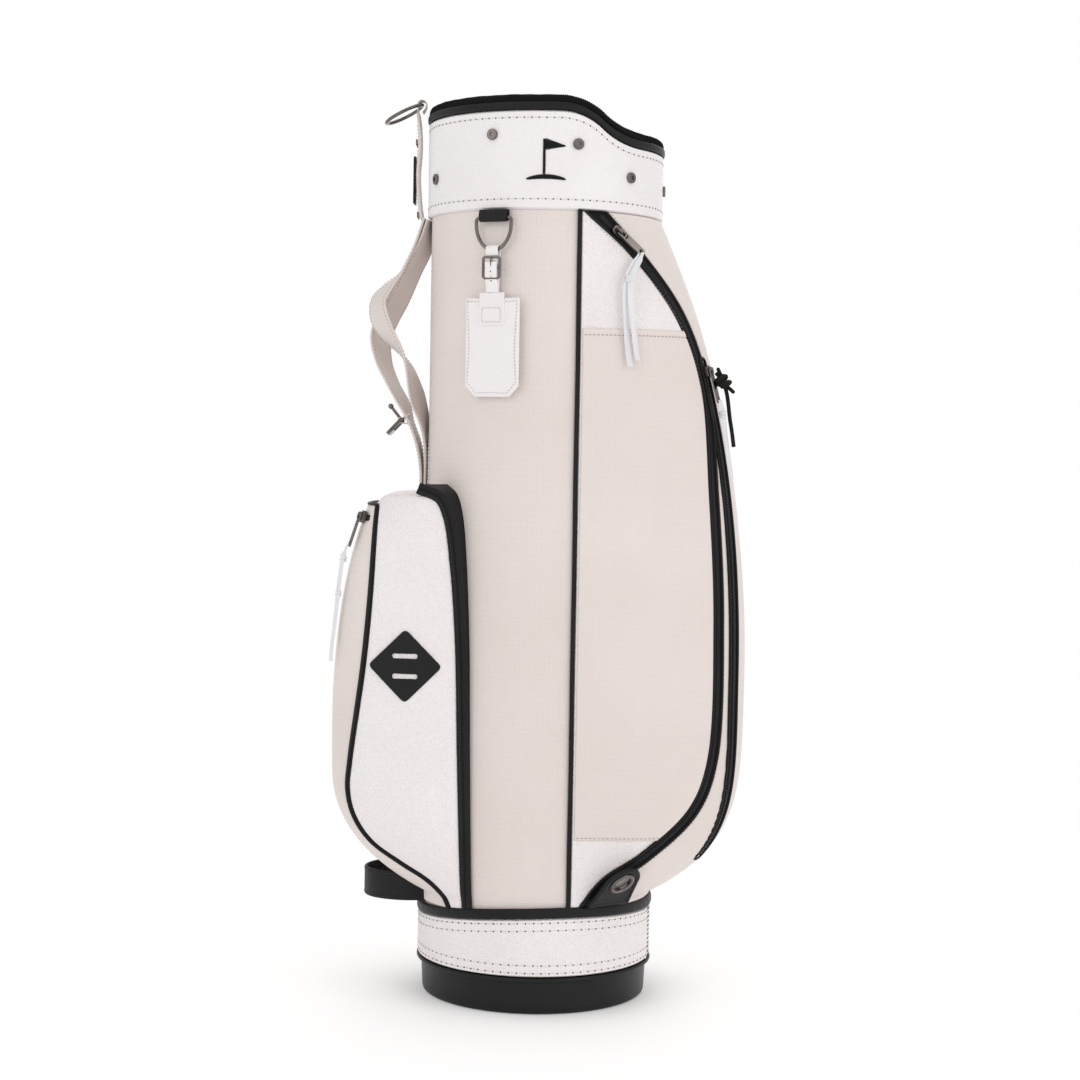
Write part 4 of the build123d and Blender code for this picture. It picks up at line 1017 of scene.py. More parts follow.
made = Shapes()
for far in (False, True):
    path, normals = on_line(BALL, PIPING_LINE, BALL_TUCK + 0.6, 498, mirror=far)
    path, _ = spaced_along(path, 2.2)
    path, normals = settle(BALL, path, 0.0)
    _, _, sides = frames_along(path, normals)
    rail, _ = settle(BALL, path, 0.5)
    made.add(*tube(rail, 1.7, 12))
    for across in (-2.3, 2.3):
        flat, _ = settle(BALL, path + sides * across, -0.1)
        made.add(*tube(flat, 0.9, 8))
corner = float(line_angles(BALL, PIPING_LINE, np.array([499.0]))[0])
across_top, _ = skin(BALL, np.linspace(1, -1, 41) * corner, np.full(41, 497.8), -0.3)
made.add(*tube(across_top, 1.5, 12))
made.piece("ball_pocket_piping", EDGE_LEATHER, slot="black_leather", replaces="ball_piping")

made = Shapes()
thread = Shapes()
for far in (False, True):
    path, normals = on_line(BALL, BINDING_LINE, BALL_TUCK + 3.2, 521.5, mirror=far)
    path, _ = spaced_along(path, 2.4)
    path, normals = settle(BALL, path, 0.0)
    _, _, sides = frames_along(path, normals)
    inward = np.where(np.sum(sides * (-1.0, 0, -0.6), axis=1, keepdims=True) > 0, sides, -sides)
    for offset, width, lift, thick in ((3.3, 5.4, 0.35, 2.4), (9.4, 5.2, 0.35, 2.4), (6.4, 5.0, -0.25, 1.6)):
        lane, lane_normals = settle(BALL, path + inward * offset, lift)
        made.add(*swept(lane, rounded(width, thick, thick * 0.48, 3), normals=lane_normals))
    # the wall that turns in from the binding to the body, padded out where it closes the pocket's top corner
    out, _ = settle(BALL, path + inward * 2.0, -0.4)
    sewn = out * (1, 1, 0) * ((BODY_R - 1.2) / np.linalg.norm(out[:, :2], axis=1))[:, None] + out * (0, 0, 1)
    padding = inward * (2.2 + 8.0 * np.clip((path[:, 2:] - 500.0) / 12.0, 0, 1))
    wall = np.stack([out, sewn, sewn + padding, out + padding], 1)
    made.add(*closed_band(wall))
    lane, lane_normals = settle(BALL, path + inward * 9.4, 1.55)
    stitches(thread, lane, lane_normals, 3.4, 2.4, 0.26)
made.piece("ball_pocket_binding", EDGE_LEATHER, slot="black_leather", replaces="ball_binding")
thread.piece("ball_pocket_binding_stitching", BLACK_THREAD, slot="black_leather")

# zip across the front of the ball pocket
angles = np.linspace(-1, 1, 90) * 0.82 * abs(float(line_angles(BALL, PIPING_LINE, np.array([BALL_ZIP_Z]))[0]))
path, normals = skin(BALL, angles, np.full(len(angles), BALL_ZIP_Z), 0.0)
made = Shapes()
made.add(*strip_on(BALL, path, normals, [(-3.2, -2.6), (3.2, -2.6), (3.2, -0.3), (1.1, -0.5), (-1.1, -0.5),
                                         (-3.2, -0.3)]))
made.piece("ball_zip_tape", ZIP_CLOTH, slot="zip_tape")
made = Shapes()
teeth, _ = spaced_along(path, 1.7)
teeth, teeth_normals = settle(BALL, teeth, -0.4)
_, ups, sides = frames_along(teeth, teeth_normals)
for k in range(len(teeth)):
    shift = 0.7 if k % 2 else -0.7
    zip_tooth(made, teeth[k] + sides[k] * shift, sides[k], ups[k], 0.9, rounded(1.2, 0.8, 0.25, 1))
made.piece("ball_zip_teeth", TEETH, slot="zip_tape")
thread = Shapes()
for rise in (-4.6, 4.6):
    rail, rail_normals = skin(BALL, angles, np.full(len(angles), BALL_ZIP_Z + rise), 0.9)
    stitches(thread, rail, rail_normals, 3.6, 2.5, 0.3)
thread.piece("ball_zip_stitching", PALE_THREAD, slot="cream_panel")

# ---------------------------------------------------------------- lash patches, carry loop, umbrella tab

PATCH_X, PATCH_Z, PATCH_HALF, PATCH_CORNER = -130.7, 340.0, 26.0, 4.5
SLOT_RISE, SLOT_HALF = 10.0, 10.0           # how far the two slots are from the middle, and half of their length


def patch_outline():
    """Outline of the lash patch about its middle: a square with rounded corners, standing on one of them."""
    turns = np.linspace(0, 2 * pi, 121)[:-1]
    inner = PATCH_HALF - PATCH_CORNER
    rim = []
    for t in turns:
        c, s = cos(t), sin(t)
        reach = PATCH_HALF / max(abs(c), abs(s))
        x, y = reach * c, reach * s
        if abs(x) > inner and abs(y) > inner:
            cx, cy = np.sign(x) * inner, np.sign(y) * inner
            b = c * cx + s * cy
            reach = b + sqrt(max(0.0, b * b - (cx * cx + cy * cy) + PATCH_CORNER * PATCH_CORNER))
            x, y = reach * c, reach * s
        rim.append(((x - y) / sqrt(2), (x + y) / sqrt(2)))
    return np.array(rim)


def patch_point(x, z, lift, far):
    """Point on the ball pocket's side at a given x and z, and the outward direction there."""
    angle = angle_at(BALL, x, z)
    return skin(BALL, -angle if far else angle, z, lift)


def slot_depth(dx, dz):
    """How deep the two sewn slots are at an offset from the patch's middle: 1 inside, 0 outside."""
    depth = 0
    for rise in (SLOT_RISE, -SLOT_RISE):
        away = np.hypot(np.clip(np.abs(dx) - SLOT_HALF, 0, None), dz - rise)
        depth = np.maximum(depth, np.clip((2.9 - away) / 0.5, 0, 1))
    return depth


made, lining = Shapes(), Shapes()
rim = patch_outline()
for far in (False, True):
    rings = np.concatenate([[0.999, 0.985, 0.96], np.linspace(0.93, 0.04, 40)])
    flat = rim[None, :, :] * rings[:, None, None]
    height = 2.45 * np.sqrt(np.clip(1 - ((rings - 0.93) / 0.075).clip(0, 1) ** 2, 0.04, 1))[:, None] + 0.3
    stitched = 0.22 * np.exp(-((rings[:, None] - 0.91) / 0.012) ** 2)
    lift = height - stitched - 2.1 * slot_depth(flat[..., 0], flat[..., 1])
    points, _ = patch_point(PATCH_X + flat[..., 0], PATCH_Z + flat[..., 1], lift, far)
    low, _ = patch_point(PATCH_X + rim[:, 0], PATCH_Z + rim[:, 1], 0.25, far)
    made.add(*closed_band(np.concatenate([low[None], points])))
    for rise in (SLOT_RISE, -SLOT_RISE):
        t = np.linspace(0, 2 * pi, 33)[:-1]
        ring_x = PATCH_X + np.sign(np.cos(t)) * SLOT_HALF + np.cos(t) * 2.5
        ring_z = PATCH_Z + rise + np.sin(t) * 2.5
        outline, _ = patch_point(ring_x, ring_z, 1.15, far)
        back, _ = patch_point(ring_x, ring_z, 0.5, far)
        lining.add(*closed_band(np.stack([outline, back])))
made.piece("lash_patch_leather", BLACK_LEATHER, slot="black_leather", replaces="lash_patches")
lining.piece("lash_patch_slot_lining", WHITE_LEATHER, slot="white_leather")


def strap(shapes, path, width, thick, normals):
    """A soft strap: a flat band that thins out to rounded edges."""
    across = np.concatenate([[-1, -0.985, -0.95], np.linspace(-0.88, 0.88, 12), [0.95, 0.985, 1]])
    crown = np.sqrt(np.clip(1 - ((np.abs(across) - 0.86).clip(0) / 0.142) ** 2, 0.0, 1))
    top = [(a * width / 2, thick / 2 * (0.25 + 0.75 * c)) for a, c in zip(across, crown)]
    low = [(a * width / 2, -thick / 2 * (0.25 + 0.75 * c)) for a, c in zip(across[::-1], crown[::-1])]
    shapes.add(*swept(path, top + low, normals=normals))


loop_points = smooth_line([(-108, -39.5, 111), (-128, -40.6, 110.5), (-150, -34.5, 110.2), (-166, -22, 110),
                           (-173.2, -6, 109.8), (-173.4, 6, 109.8), (-166, 22, 110), (-150, 34.5, 110.2),
                           (-128, 40.6, 110.5), (-108, 39.5, 111)])
loop_points[:, 0] = np.minimum(loop_points[:, 0], -106.5)
made, thread = Shapes(), Shapes()
outside = unit(np.cross(np.gradient(loop_points, axis=0), (0, 0, 1)))
outside = np.where(np.sum(outside * (loop_points - (-125, 0, 110)), axis=1, keepdims=True) < 0, -outside, outside)
made.add(*swept(loop_points, rounded(29.0, 2.9, 1.35), normals=outside))
for rise in (-12.0, 12.0):
    rail = loop_points + (0, 0, rise) + outside * 1.45
    stitches(thread, rail, outside, 3.6, 2.5, 0.26)
made.piece("carry_loop_leather", BLACK_LEATHER, slot="black_leather", replaces="lower_handle")
thread.piece("carry_loop_stitching", BLACK_THREAD, slot="black_leather")

TAB_AZIMUTH, TAB_LEAN, EYELET_UP = 36.0, radians(40.0), 34.0
TAB_HALF, TAB_ROUND, HOLE_R = 25.0, 20.4, 10.1      # half its root's width, and the radii of its end and hole
tab_out = outward(TAB_AZIMUTH)
tab_x = np.array((cos(radians(TAB_AZIMUTH)), sin(radians(TAB_AZIMUTH)), 0))
tab_up = tab_out * sin(TAB_LEAN) + np.array((0, 0, cos(TAB_LEAN)))
tab_normal = np.cross(tab_x, tab_up)
tab_origin = around(TAB_AZIMUTH, BODY_R + 7.0, 108.0)


def tab_point(x, y, lift):
    """Point on the tab: across, up along it from its root, and out from its back."""
    x, y, lift = np.broadcast_arrays(*(np.asarray(v, float) for v in (x, y, lift)))
    return tab_origin + x[..., None] * tab_x + y[..., None] * tab_up + lift[..., None] * tab_normal


made, thread = Shapes(), Shapes()
t = np.linspace(0, 1, 41)
rim = [(-TAB_HALF + 2 * TAB_HALF * k, 0.3) for k in t[:-1]]
rim += [(TAB_HALF - 4.5 * k, 0.3 + (EYELET_UP - 0.3) * k) for k in t[:-1]]
rim += arc((0, EYELET_UP), TAB_ROUND, 0, pi, 61)[:-1]
rim += [(-TAB_HALF + 4.5 - 4.5 * k, EYELET_UP - (EYELET_UP - 0.3) * k) for k in t[:-1]]
rim = np.array(rim)
hole = np.array((0, EYELET_UP)) + HOLE_R * unit(rim - (0, EYELET_UP))
rings = np.concatenate([[0, 0.012, 0.035, 0.07], np.linspace(0.12, 1, 24)])
flat = rim[None] * (1 - rings[:, None, None]) + hole[None] * rings[:, None, None]
from_rim = np.linalg.norm(flat - rim[None], axis=2)
height = 2.9 * np.sqrt(np.clip(1 - (1 - np.clip(from_rim / 1.3, 0, 1)) ** 2, 0.02, 1))
height = height - 0.75 * np.clip((from_rim - 4.2) / 0.9, 0, 1)
outer = tab_point(flat[..., 0], flat[..., 1], height)
inner = tab_point(flat[..., 0], flat[..., 1], 0.1)
rows, cols = outer.shape[:2]
verts = np.vstack([outer.reshape(-1, 3), inner.reshape(-1, 3)])
low = rows * cols
faces = grid_faces(rows, cols, wrap_cols=True) + grid_faces(rows, cols, start=low, wrap_cols=True, flip=True)
for k in range(cols):
    n = (k + 1) % cols
    faces.append((n, k, k + low, n + low))
    faces.append(((rows - 1) * cols + k, (rows - 1) * cols + n, (rows - 1) * cols + n + low,
                  (rows - 1) * cols + k + low))
made.add(verts, faces)
made.piece("umbrella_tab_leather", BLACK_LEATHER, slot="black_leather", replaces="umbrella_tab")
sewn = rim[40:] + unit(np.array((0, EYELET_UP * 0.55)) - rim[40:]) * 2.7
stitches(thread, tab_point(sewn[:, 0], sewn[:, 1], 2.95), tab_normal, 3.4, 2.3, 0.26)
thread.piece("umbrella_tab_stitching", BLACK_THREAD, slot="black_leather")
made = Shapes()
t = np.linspace(0, 2 * pi, 65)[:-1]
centre = tab_point(np.cos(t) * 11.3, EYELET_UP + np.sin(t) * 11.3, 1.5)
outs = unit(centre - tab_point(0.0, EYELET_UP, 1.5))
EYELET = [(-1.6, 0.4), (-2.1, 1.2), (-2.05, 2.0), (-1.3, 2.65), (-0.3, 2.8), (1.0, 2.55), (1.9, 2.0), (2.2, 1.35),
          (2.2, 0.9), (-1.3, 0.9), (-1.3, -1.4), (2.2, -1.4), (2.2, -1.9), (1.9, -2.3), (-1.2, -2.6),
          (-1.9, -2.2), (-2.15, -1.4)]
eyelet = np.array([centre + outs * a + tab_normal * b for a, b in EYELET]).transpose(1, 0, 2)
made.add(eyelet.reshape(-1, 3), grid_faces(len(t), len(EYELET), wrap_rows=True, wrap_cols=True))
made.piece("umbrella_eyelet_ring", GUNMETAL, slot="gunmetal", replaces="umbrella_eyelet")

# ---------------------------------------------------------------- tag under the collar

TAG_AZIMUTH, RING_OUT, RING_Z, RING_DEEP, WIRE = -24.2, 121.4, 778.5, 31.0, 1.75
tag_out = outward(TAG_AZIMUTH)
tag_x = np.array((cos(radians(TAG_AZIMUTH)), sin(radians(TAG_AZIMUTH)), 0))


def tag_point(x, up, out):
    """Point on the tag's group: across, above the ring's hinge, and outwards from it."""
    x, up, out = np.broadcast_arrays(*(np.asarray(v, float) for v in (x, up, out)))
    return (around(TAG_AZIMUTH, RING_OUT, RING_Z) + x[..., None] * tag_x + up[..., None] * np.array((0, 0, 1))
            + out[..., None] * tag_out)


made = Shapes()
# leather loop folded over the ring's straight side, and tucked under the collar
path = [(-3.6, 8.0), (-3.4, 4.0)] + arc((0, 0), 3.05, -pi, 0, 13) + [(3.0, 3.5), (1.6, 7.6)]
line = smooth_line([tag_point(0.0, up, out) for out, up in path], 1.0)
made.add(*swept(line, rounded(29.6, 1.7, 0.7, 3), normals=np.cross(np.gradient(line, axis=0), tag_x)))
made.piece("tag_hanger_leather", BLACK_LEATHER, slot="black_leather", replaces="tag_loop")

made = Shapes()
half = 18.6
bow = [(half * cos(a), -6.0 - (RING_DEEP - 6.0) * sin(a)) for a in np.linspace(0, pi, 41)]
outline = [(-half + 2 * half * k, 0.0) for k in np.linspace(0.06, 0.94, 20)] + [(half, -2.0), (half, -4.5)]
outline += bow[1:-1] + [(-half, -4.5), (-half, -2.0)]
line = np.array([tag_point(x, up, 0.0) for x, up in outline])
line = smooth_line(np.vstack([line, line[:1]]), 1.2)[:-1]
made.add(*tube(line, WIRE, 14, closed=True))
made.piece("tag_d_ring", GUNMETAL, body="tag_ring", slot="gunmetal", replaces="tag_ring")

made, thread = Shapes(), Shapes()
drop = -RING_DEEP
path = [(0.6, drop - 46), (0.8, drop - 30), (1.0, drop - 16), (2.6, drop - 7)]
path += arc((0, drop), 3.95, -0.35, pi + 0.3, 15)
path += [(-2.6, drop - 7), (-1.3, drop - 16), (-0.9, drop - 30), (-0.9, drop - 46)]
line = smooth_line([tag_point(0.0, up, out) for out, up in path], 1.2)
made.add(*swept(line, rounded(12.8, 1.5, 0.6, 3), normals=np.cross(np.gradient(line, axis=0), tag_x)))
path = ((4.9, drop - 12), (5.1, drop - 20), (4.2, drop - 27), (2.6, drop - 34), (2.3, drop - 41))
tongue = smooth_line([tag_point(0.0, up, out) for out, up in path], 1.5)
made.add(*swept(tongue, rounded(12.6, 1.4, 0.6, 3), normals=tag_out))
made.piece("tag_strap_leather", COLLAR_LEATHER, body="tag", slot="white_leather", replaces="tag_strap")
for up in (-21.0, -25.5, -30.0):
    ends = [tag_point(0.0, drop + up, out) for out in (5.8 + 0.05 * up, 5.9 + (up + 21) * 0.16)]
    thread.add(*swept(ends, circle(0.75), normals=tag_x))
thread.piece("tag_strap_holes", RED_THREAD, body="tag", slot="white_leather")

made = Shapes()
BUCKLE_UP = drop - 17.2
frame_line = np.array([tag_point(x, BUCKLE_UP + up, 3.9) for x, up in rounded(17.6, 20.4, 2.6, 6)])
made.add(*swept(frame_line, rounded(2.6, 2.2, 0.9, 3), normals=tag_out, closed=True))
made.add(*tube([tag_point(x, BUCKLE_UP, 3.6) for x in (-8.2, 8.2)], 1.0))
made.add(*tube([tag_point(0.0, drop + up, out) for up, out in ((-17.4, 4.9), (-12.0, 5.3), (-7.2, 5.4))], 0.85))
made.piece("tag_strap_buckle", GUNMETAL, body="tag", slot="gunmetal", replaces="tag_buckle")

TAG_TOP, TAG_LOW = drop - 46, drop - 142


def filled_in(outline, step, least=2):
    """A closed outline with points added along its edges, about a step apart."""
    made = []
    for a, b in zip(outline, np.roll(outline, -1, 0)):
        count = max(least, int(np.linalg.norm(b - a) / step))
        made += [a + (b - a) * k / count for k in range(count)]
    return np.array(made)


def plate(shapes, outline, middle, thick, back, seam, point=tag_point, puff=0.0):
    """A flat leather plate with a rounded rim and a sewn line inside it."""
    rings = np.concatenate([[0, 0.006, 0.02, 0.035], np.linspace(0.055, 0.9, 22), [0.97]])
    flat = outline[None] * (1 - rings[:, None, None]) + middle * rings[:, None, None]
    away = np.linalg.norm(flat - outline[None], axis=2)
    height = thick * (0.2 + 0.8 * np.sqrt(np.clip(1 - (1 - np.clip(away / 1.1, 0, 1)) ** 2, 0, 1)))
    height = height - 0.35 * np.exp(-((away - seam) / 0.7) ** 2) + puff * np.clip(away / 12, 0, 1)
    outer = point(flat[..., 0], flat[..., 1], back + height)
    inner = point(outline[:, 0], outline[:, 1], back)
    shapes.add(*closed_band(np.concatenate([inner[None], outer])))


rim = np.array([(-28.4, TAG_TOP + 1.2), (-27.4, TAG_TOP), (27.4, TAG_TOP), (28.4, TAG_TOP - 1.0),
                (28.4, TAG_LOW + 10.6), (18.2, TAG_LOW), (-18.2, TAG_LOW), (-28.4, TAG_LOW + 10.6)])
rim = filled_in(rim, 2.0)
middle = np.array((0.0, (TAG_TOP + TAG_LOW) / 2))
made, thread = Shapes(), Shapes()
plate(made, rim, middle, 2.9, -2.0, 3.4, puff=0.2)
made.piece("tag_leather", COLLAR_LEATHER, body="tag", slot="white_leather", replaces="tag_body")
seam = rim + unit(middle - rim) * 4.0
seam = np.vstack([seam, seam[:1]])
stitches(thread, np.array([tag_point(x, up, 0.75) for x, up in seam]), tag_out, 3.4, 2.4, 0.3)
made = Shapes()
flap = np.array([(-13.2, drop - 41), (13.2, drop - 41), (13.2, drop - 71), (11.2, drop - 73), (-11.2, drop - 73),
                 (-13.2, drop - 71)])
plate(made, filled_in(flap, 1.6), np.array((0.0, drop - 57)), 1.7, 1.2, 2.6)
made.piece("tag_flap_leather", COLLAR_LEATHER, body="tag", slot="white_leather")
box_seam = [tag_point(x, drop + up, 2.85) for x, up in ((-9.8, -56), (9.8, -56), (9.8, -69.5), (-9.8, -69.5),
                                                        (-9.8, -56))]
stitches(thread, box_seam, tag_out, 2.6, 1.9, 0.28)
thread.piece("tag_stitching", PALE_THREAD, body="tag", slot="white_leather")

# ---------------------------------------------------------------- collar handle, ring and shoulder strap

HOOK = (-126.6, 902.4)                      # x and z of the ring's bar, which the handle's end folds round
PLATE_X, PLATE_Z = -132.0, 826.0
path = [(-125.4, 787.4), (-127.3, 800), (-129.5, 830), (-128, 858), (-128.6, 878), (-130.5, 893), (-131.0, 899.0)]
path += arc(HOOK, 4.35, pi, 0.0, 11) + [(-122.9, 899.2), (-125.8, 894.5)]
line = smooth_line(np.array([(x, 0.0, z) for x, z in path]), 1.5)
made, thread = Shapes(), Shapes()
wide = np.interp(line[:, 2], (885, 899), (1.0, 0.54))
width_profile = np.concatenate([[-1, -0.98, -0.93], np.linspace(-0.86, 0.86, 9), [0.93, 0.98, 1]])
_, normal, side = frames_along(line, np.cross(np.gradient(line, axis=0), (0, 1, 0)))
top = [(a * 14.8, 0.9 * sqrt(max(0.06, 1 - (max(0, abs(a) - 0.86) / 0.14) ** 2))) for a in width_profile]
strip = np.array(top + [(a, -b) for a, b in reversed(top)])
verts = (line[:, None, :] + side[:, None, :] * (strip[None, :, 0] * wide[:, None])[..., None]
         + normal[:, None, :] * (strip[None, :, 1] * np.where(line[:, 2] > 893, 0.72, 1.9)[:, None])[..., None])
made.add(*closed_band(verts))
made.piece("collar_handle_strap", CREAM_STRAP, slot="cream_panel", replaces="collar_handle")
for y in (-12.0, 12.0):
    rail = np.array([(x - 1.85, y, z) for x, _, z in line[: int(len(line) * 0.62)]])
    stitches(thread, rail, (-1, 0, 0), 3.4, 2.4, 0.26)
made = Shapes()


def handle_plate_point(x, up, out):
    """Point on the handle's plate: across, its height, and out from the handle."""
    x, up, out = np.broadcast_arrays(*(np.asarray(v, float) for v in (x, up, out)))
    return np.stack([PLATE_X - out, x, up], -1)


outline = []
for a, (cx, cy) in ((0, (8.5, 22)), (pi / 2, (-8.5, 22)), (pi, (-8.5, -22)), (3 * pi / 2, (8.5, -22))):
    for k in np.linspace(0, pi / 2, 6):
        outline.append((cx + 2.3 * cos(a + k), PLATE_Z + cy + 1.9 * sin(a + k)))
plate(made, filled_in(np.array(outline), 2.0, least=1), np.array((0.0, PLATE_Z)), 2.4, 0.05, 2.4,
      point=handle_plate_point)
made.piece("handle_leather_plate", BLACK_LEATHER, slot="black_leather", replaces="handle_plate")
thread.piece("collar_handle_stitching", PALE_THREAD, slot="cream_panel")

# Each row: x, z, the turn in degrees about the strap's own line, and y. Above 0, the near edge turns outwards.
LONG_STRAP = ((-117.6, 786, 4, 0), (-121.5, 762, 20, 1), (-135, 735, 25, 7), (-149, 707, 30, 15),
              (-160, 687, 32, 17), (-167, 668, 31, 16), (-163.5, 642, 22, 11), (-154, 621, 15, 5),
              (-141, 598, 14, 1), (-134, 581, 4, 0), (-125.5, 557, 4, 0), (-122.4, 532, 0, 0),
              (-122.2, 512, 0, 0))
SHORT_STRAP = ((-121.6, 786, 4, 0), (-129, 760, 8, -1), (-144, 735, -3, -5), (-158.5, 718, -18, -11),
               (-168, 703, -27, -16), (-166.5, 686, -32, -17), (-157, 668, -24, -16), (-144.5, 650.6, -7, -12),
               (-136.5, 635, 8, -8), (-130.5, 616, 19, -4), (-126.5, 602, 22, -2), (-121, 584, 14, 0),
               (-118.4, 560, 2, 0), (-118.2, 512, 0, 0))
STRAP_WIDE = 37.4
for rows, name, node in ((LONG_STRAP, "shoulder_strap_long", "strap_long"),
                         (SHORT_STRAP, "shoulder_strap_short", "strap_short")):
    made, thread = Shapes(), Shapes()
    line = smooth_line([(x, y, z, turn * 0.3) for x, z, turn, y in rows], 2.0)
    line, turn = line[:, :3], np.radians(line[:, 3:] / 0.3)
    across = unit(np.cross(np.gradient(line, axis=0), (0, 1, 0)))
    across = np.where(across[:, :1] > 0, -across, across)
    facing = across * np.cos(turn) + np.array((0, 1, 0)) * np.sin(turn)
    strap(made, line, STRAP_WIDE, 2.6, facing)
    band = made.piece(name, CREAM_STRAP, slot="cream_panel", replaces=node)
    _, normal, side = frames_along(line, facing)
    for offset in (-15.8, 15.8):
        for face in (-1, 1):
            stitches(thread, line[6:-4] + side[6:-4] * offset + normal[6:-4] * face * 1.2, normal[6:-4] * face,
                     3.8, 2.7, 0.28)
    seam_rows = thread.piece(f"{name}_stitching", PALE_THREAD, slot="cream_panel")

# two keepers that hold the buckle's bar to the strap, one each side of its prong
made = Shapes()
BUCKLE_AT = (-143.5, 582.5)                 # x and z of the buckle's bar
keeper = [(-133.8, 589.0), (-138.5, 586.8)]
keeper += arc(BUCKLE_AT, 2.35, 1.3, 4.6, 11)
keeper += [(-138.6, 579.2), (-132.4, 581.2)]
for y in (-12.4, 12.4):
    line = smooth_line([(x, y, z) for x, z in keeper], 0.8)
    made.add(*swept(line, rounded(10.5, 1.3, 0.55, 3), normals=np.cross(np.gradient(line, axis=0), (0, 1, 0))))
made.piece("buckle_keepers", CREAM_STRAP, slot="cream_panel")

# ---------------------------------------------------------------- metal and rods from the frame


def refinished(name, material):
    """A node of the frame, smoothly shaded and in its own material."""
    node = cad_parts[name]
    node.data.materials.clear()
    node.data.materials.append(material)
    shade_smooth(node.data, 32)
    return node


for node in ("collar_snaps", "handle_rivets", "strap_buckle", "buckle_prong", "top_ring", "side_slider_near",
             "side_slider_far", "side_pull_near", "side_pull_far", "front_slider", "front_pull", "ball_slider",
             "ball_pull"):
    rounding = refinished(node, GUNMETAL).modifiers.new("rounding", "BEVEL")
    rounding.width = 0.00028
    rounding.segments = 2
    rounding.limit_method = "ANGLE"
    rounding.angle_limit = radians(40)
    rounding.harden_normals = False
for node, material in (("collar_frame", FRAME_PLASTIC), ("stay_rods", RODS)):
    refinished(node, material)

# ---------------------------------------------------------------- ribbons, knots and cord

RIBBON_WIDE = dict(side=5.6, front=6.6, ball=4.6)
CORD_THICK = 4.0


def nurbs_object(name, route):
    """A smooth curve that has the route as its control points."""
    curve = bpy.data.curves.new(name, "CURVE")
    curve.dimensions = "3D"
    curve.resolution_u = 12
    spline = curve.splines.new("NURBS")
    spline.points.add(len(route) - 1)
    for point, place in zip(spline.points, route):
        point.co = (*[v * MM for v in place], 1.0)
    spline.order_u = 3
    spline.use_endpoint_u = True
    return place_in_scene(name, curve)


def nurbs_points(name, route):
    """Points along the smooth curve of a route, in millimetres."""
    line = nurbs_object(name, route)
    curve = line.data
    bpy.context.view_layer.update()
    mesh = bpy.data.meshes.new_from_object(line.evaluated_get(bpy.context.evaluated_depsgraph_get()))
    points = np.array([v.co for v in mesh.vertices]) / MM
    bpy.data.objects.remove(line)
    bpy.data.meshes.remove(mesh)
    bpy.data.curves.remove(curve)
    return points


def ribbon(name, node, body, route, width, facing, twist, flip=False):
    """A flat woven ribbon along a route, turning about its own line from one end to the other."""
    if flip:
        route = [(x, -y, z) for x, y, z in route]
        facing = (facing[0], -facing[1], facing[2])
    line = nurbs_points(name + "_line", route)
    line, at = spaced_along(line, 1.6)
    tangent, normal, side = frames_along(line, facing)
    share = at / at[-1]
    turn = np.radians(twist[0] + (twist[1] - twist[0]) * share + 7 * np.sin(share * 9 + width))
    turn = -turn if flip else turn
    ups = normal * np.cos(turn)[:, None] + side * np.sin(turn)[:, None]
    made = Shapes()
    taper = np.interp(at, (0, 5, 9, at[-1]), (0.5, 0.62, 1.0, 1.0))
    profile = rounded(1.0, 1.0, 0.45, 2)
    outs = np.cross(tangent, ups)
    section = (line[:, None, :] + outs[:, None, :] * (profile[None, :, 0] * (width * taper)[:, None])[..., None]
               + ups[:, None, :] * (profile[None, :, 1] * 0.55)[..., None])
    made.add(*closed_band(section))
    piece = made.piece(name, RIBBON_CLOTH, body=body, slot="white_ribbon", replaces=node)


ROUTES = {
    "side_a": ((91.8, -102.5, 747.1), (87.0, -106.0, 738.0), (80.0, -111.0, 725.0), (78.0, -113.5, 706.0),
               (79.5, -114.0, 684.0), (81.0, -115.5, 660.0), (84.5, -116.0, 637.0)),
    "side_b": ((95.4, -102.2, 748.2), (91.5, -107.6, 738.5), (84.6, -112.6, 726.0), (83.0, -115.0, 708.0),
               (86.0, -115.5, 686.0), (88.0, -117.0, 663.0), (91.8, -117.4, 643.0)),
    "front": ((175.6, -73.7, 607.0), (178.2, -76.8, 596.0), (179.8, -79.8, 582.0), (182.8, -81.2, 564.0),
              (185.2, -83.4, 546.0), (188.8, -84.0, 528.5)),
    "cord": ((171.4, -71.6, 633.6), (177.5, -69.6, 627.5), (182.0, -69.0, 617.0), (184.2, -70.2, 604.0),
             (185.4, -72.8, 590.0), (188.2, -73.8, 575.0), (189.8, -76.6, 561.0)),
    "ball_a": ((-191.8, -55.4, 457.6), (-195.6, -57.2, 447.0), (-197.0, -58.2, 433.0), (-199.5, -59.6, 412.0),
               (-201.6, -60.2, 395.0), (-203.6, -61.4, 376.0), (-206.4, -61.6, 357.5), (-207.0, -62.4, 340.5)),
    "ball_b": ((-193.0, -51.4, 456.6), (-196.8, -52.2, 446.0), (-199.6, -53.4, 431.0), (-202.0, -54.4, 411.0),
               (-203.2, -56.2, 391.0), (-205.6, -57.0, 372.0), (-206.4, -58.2, 353.0)),
}


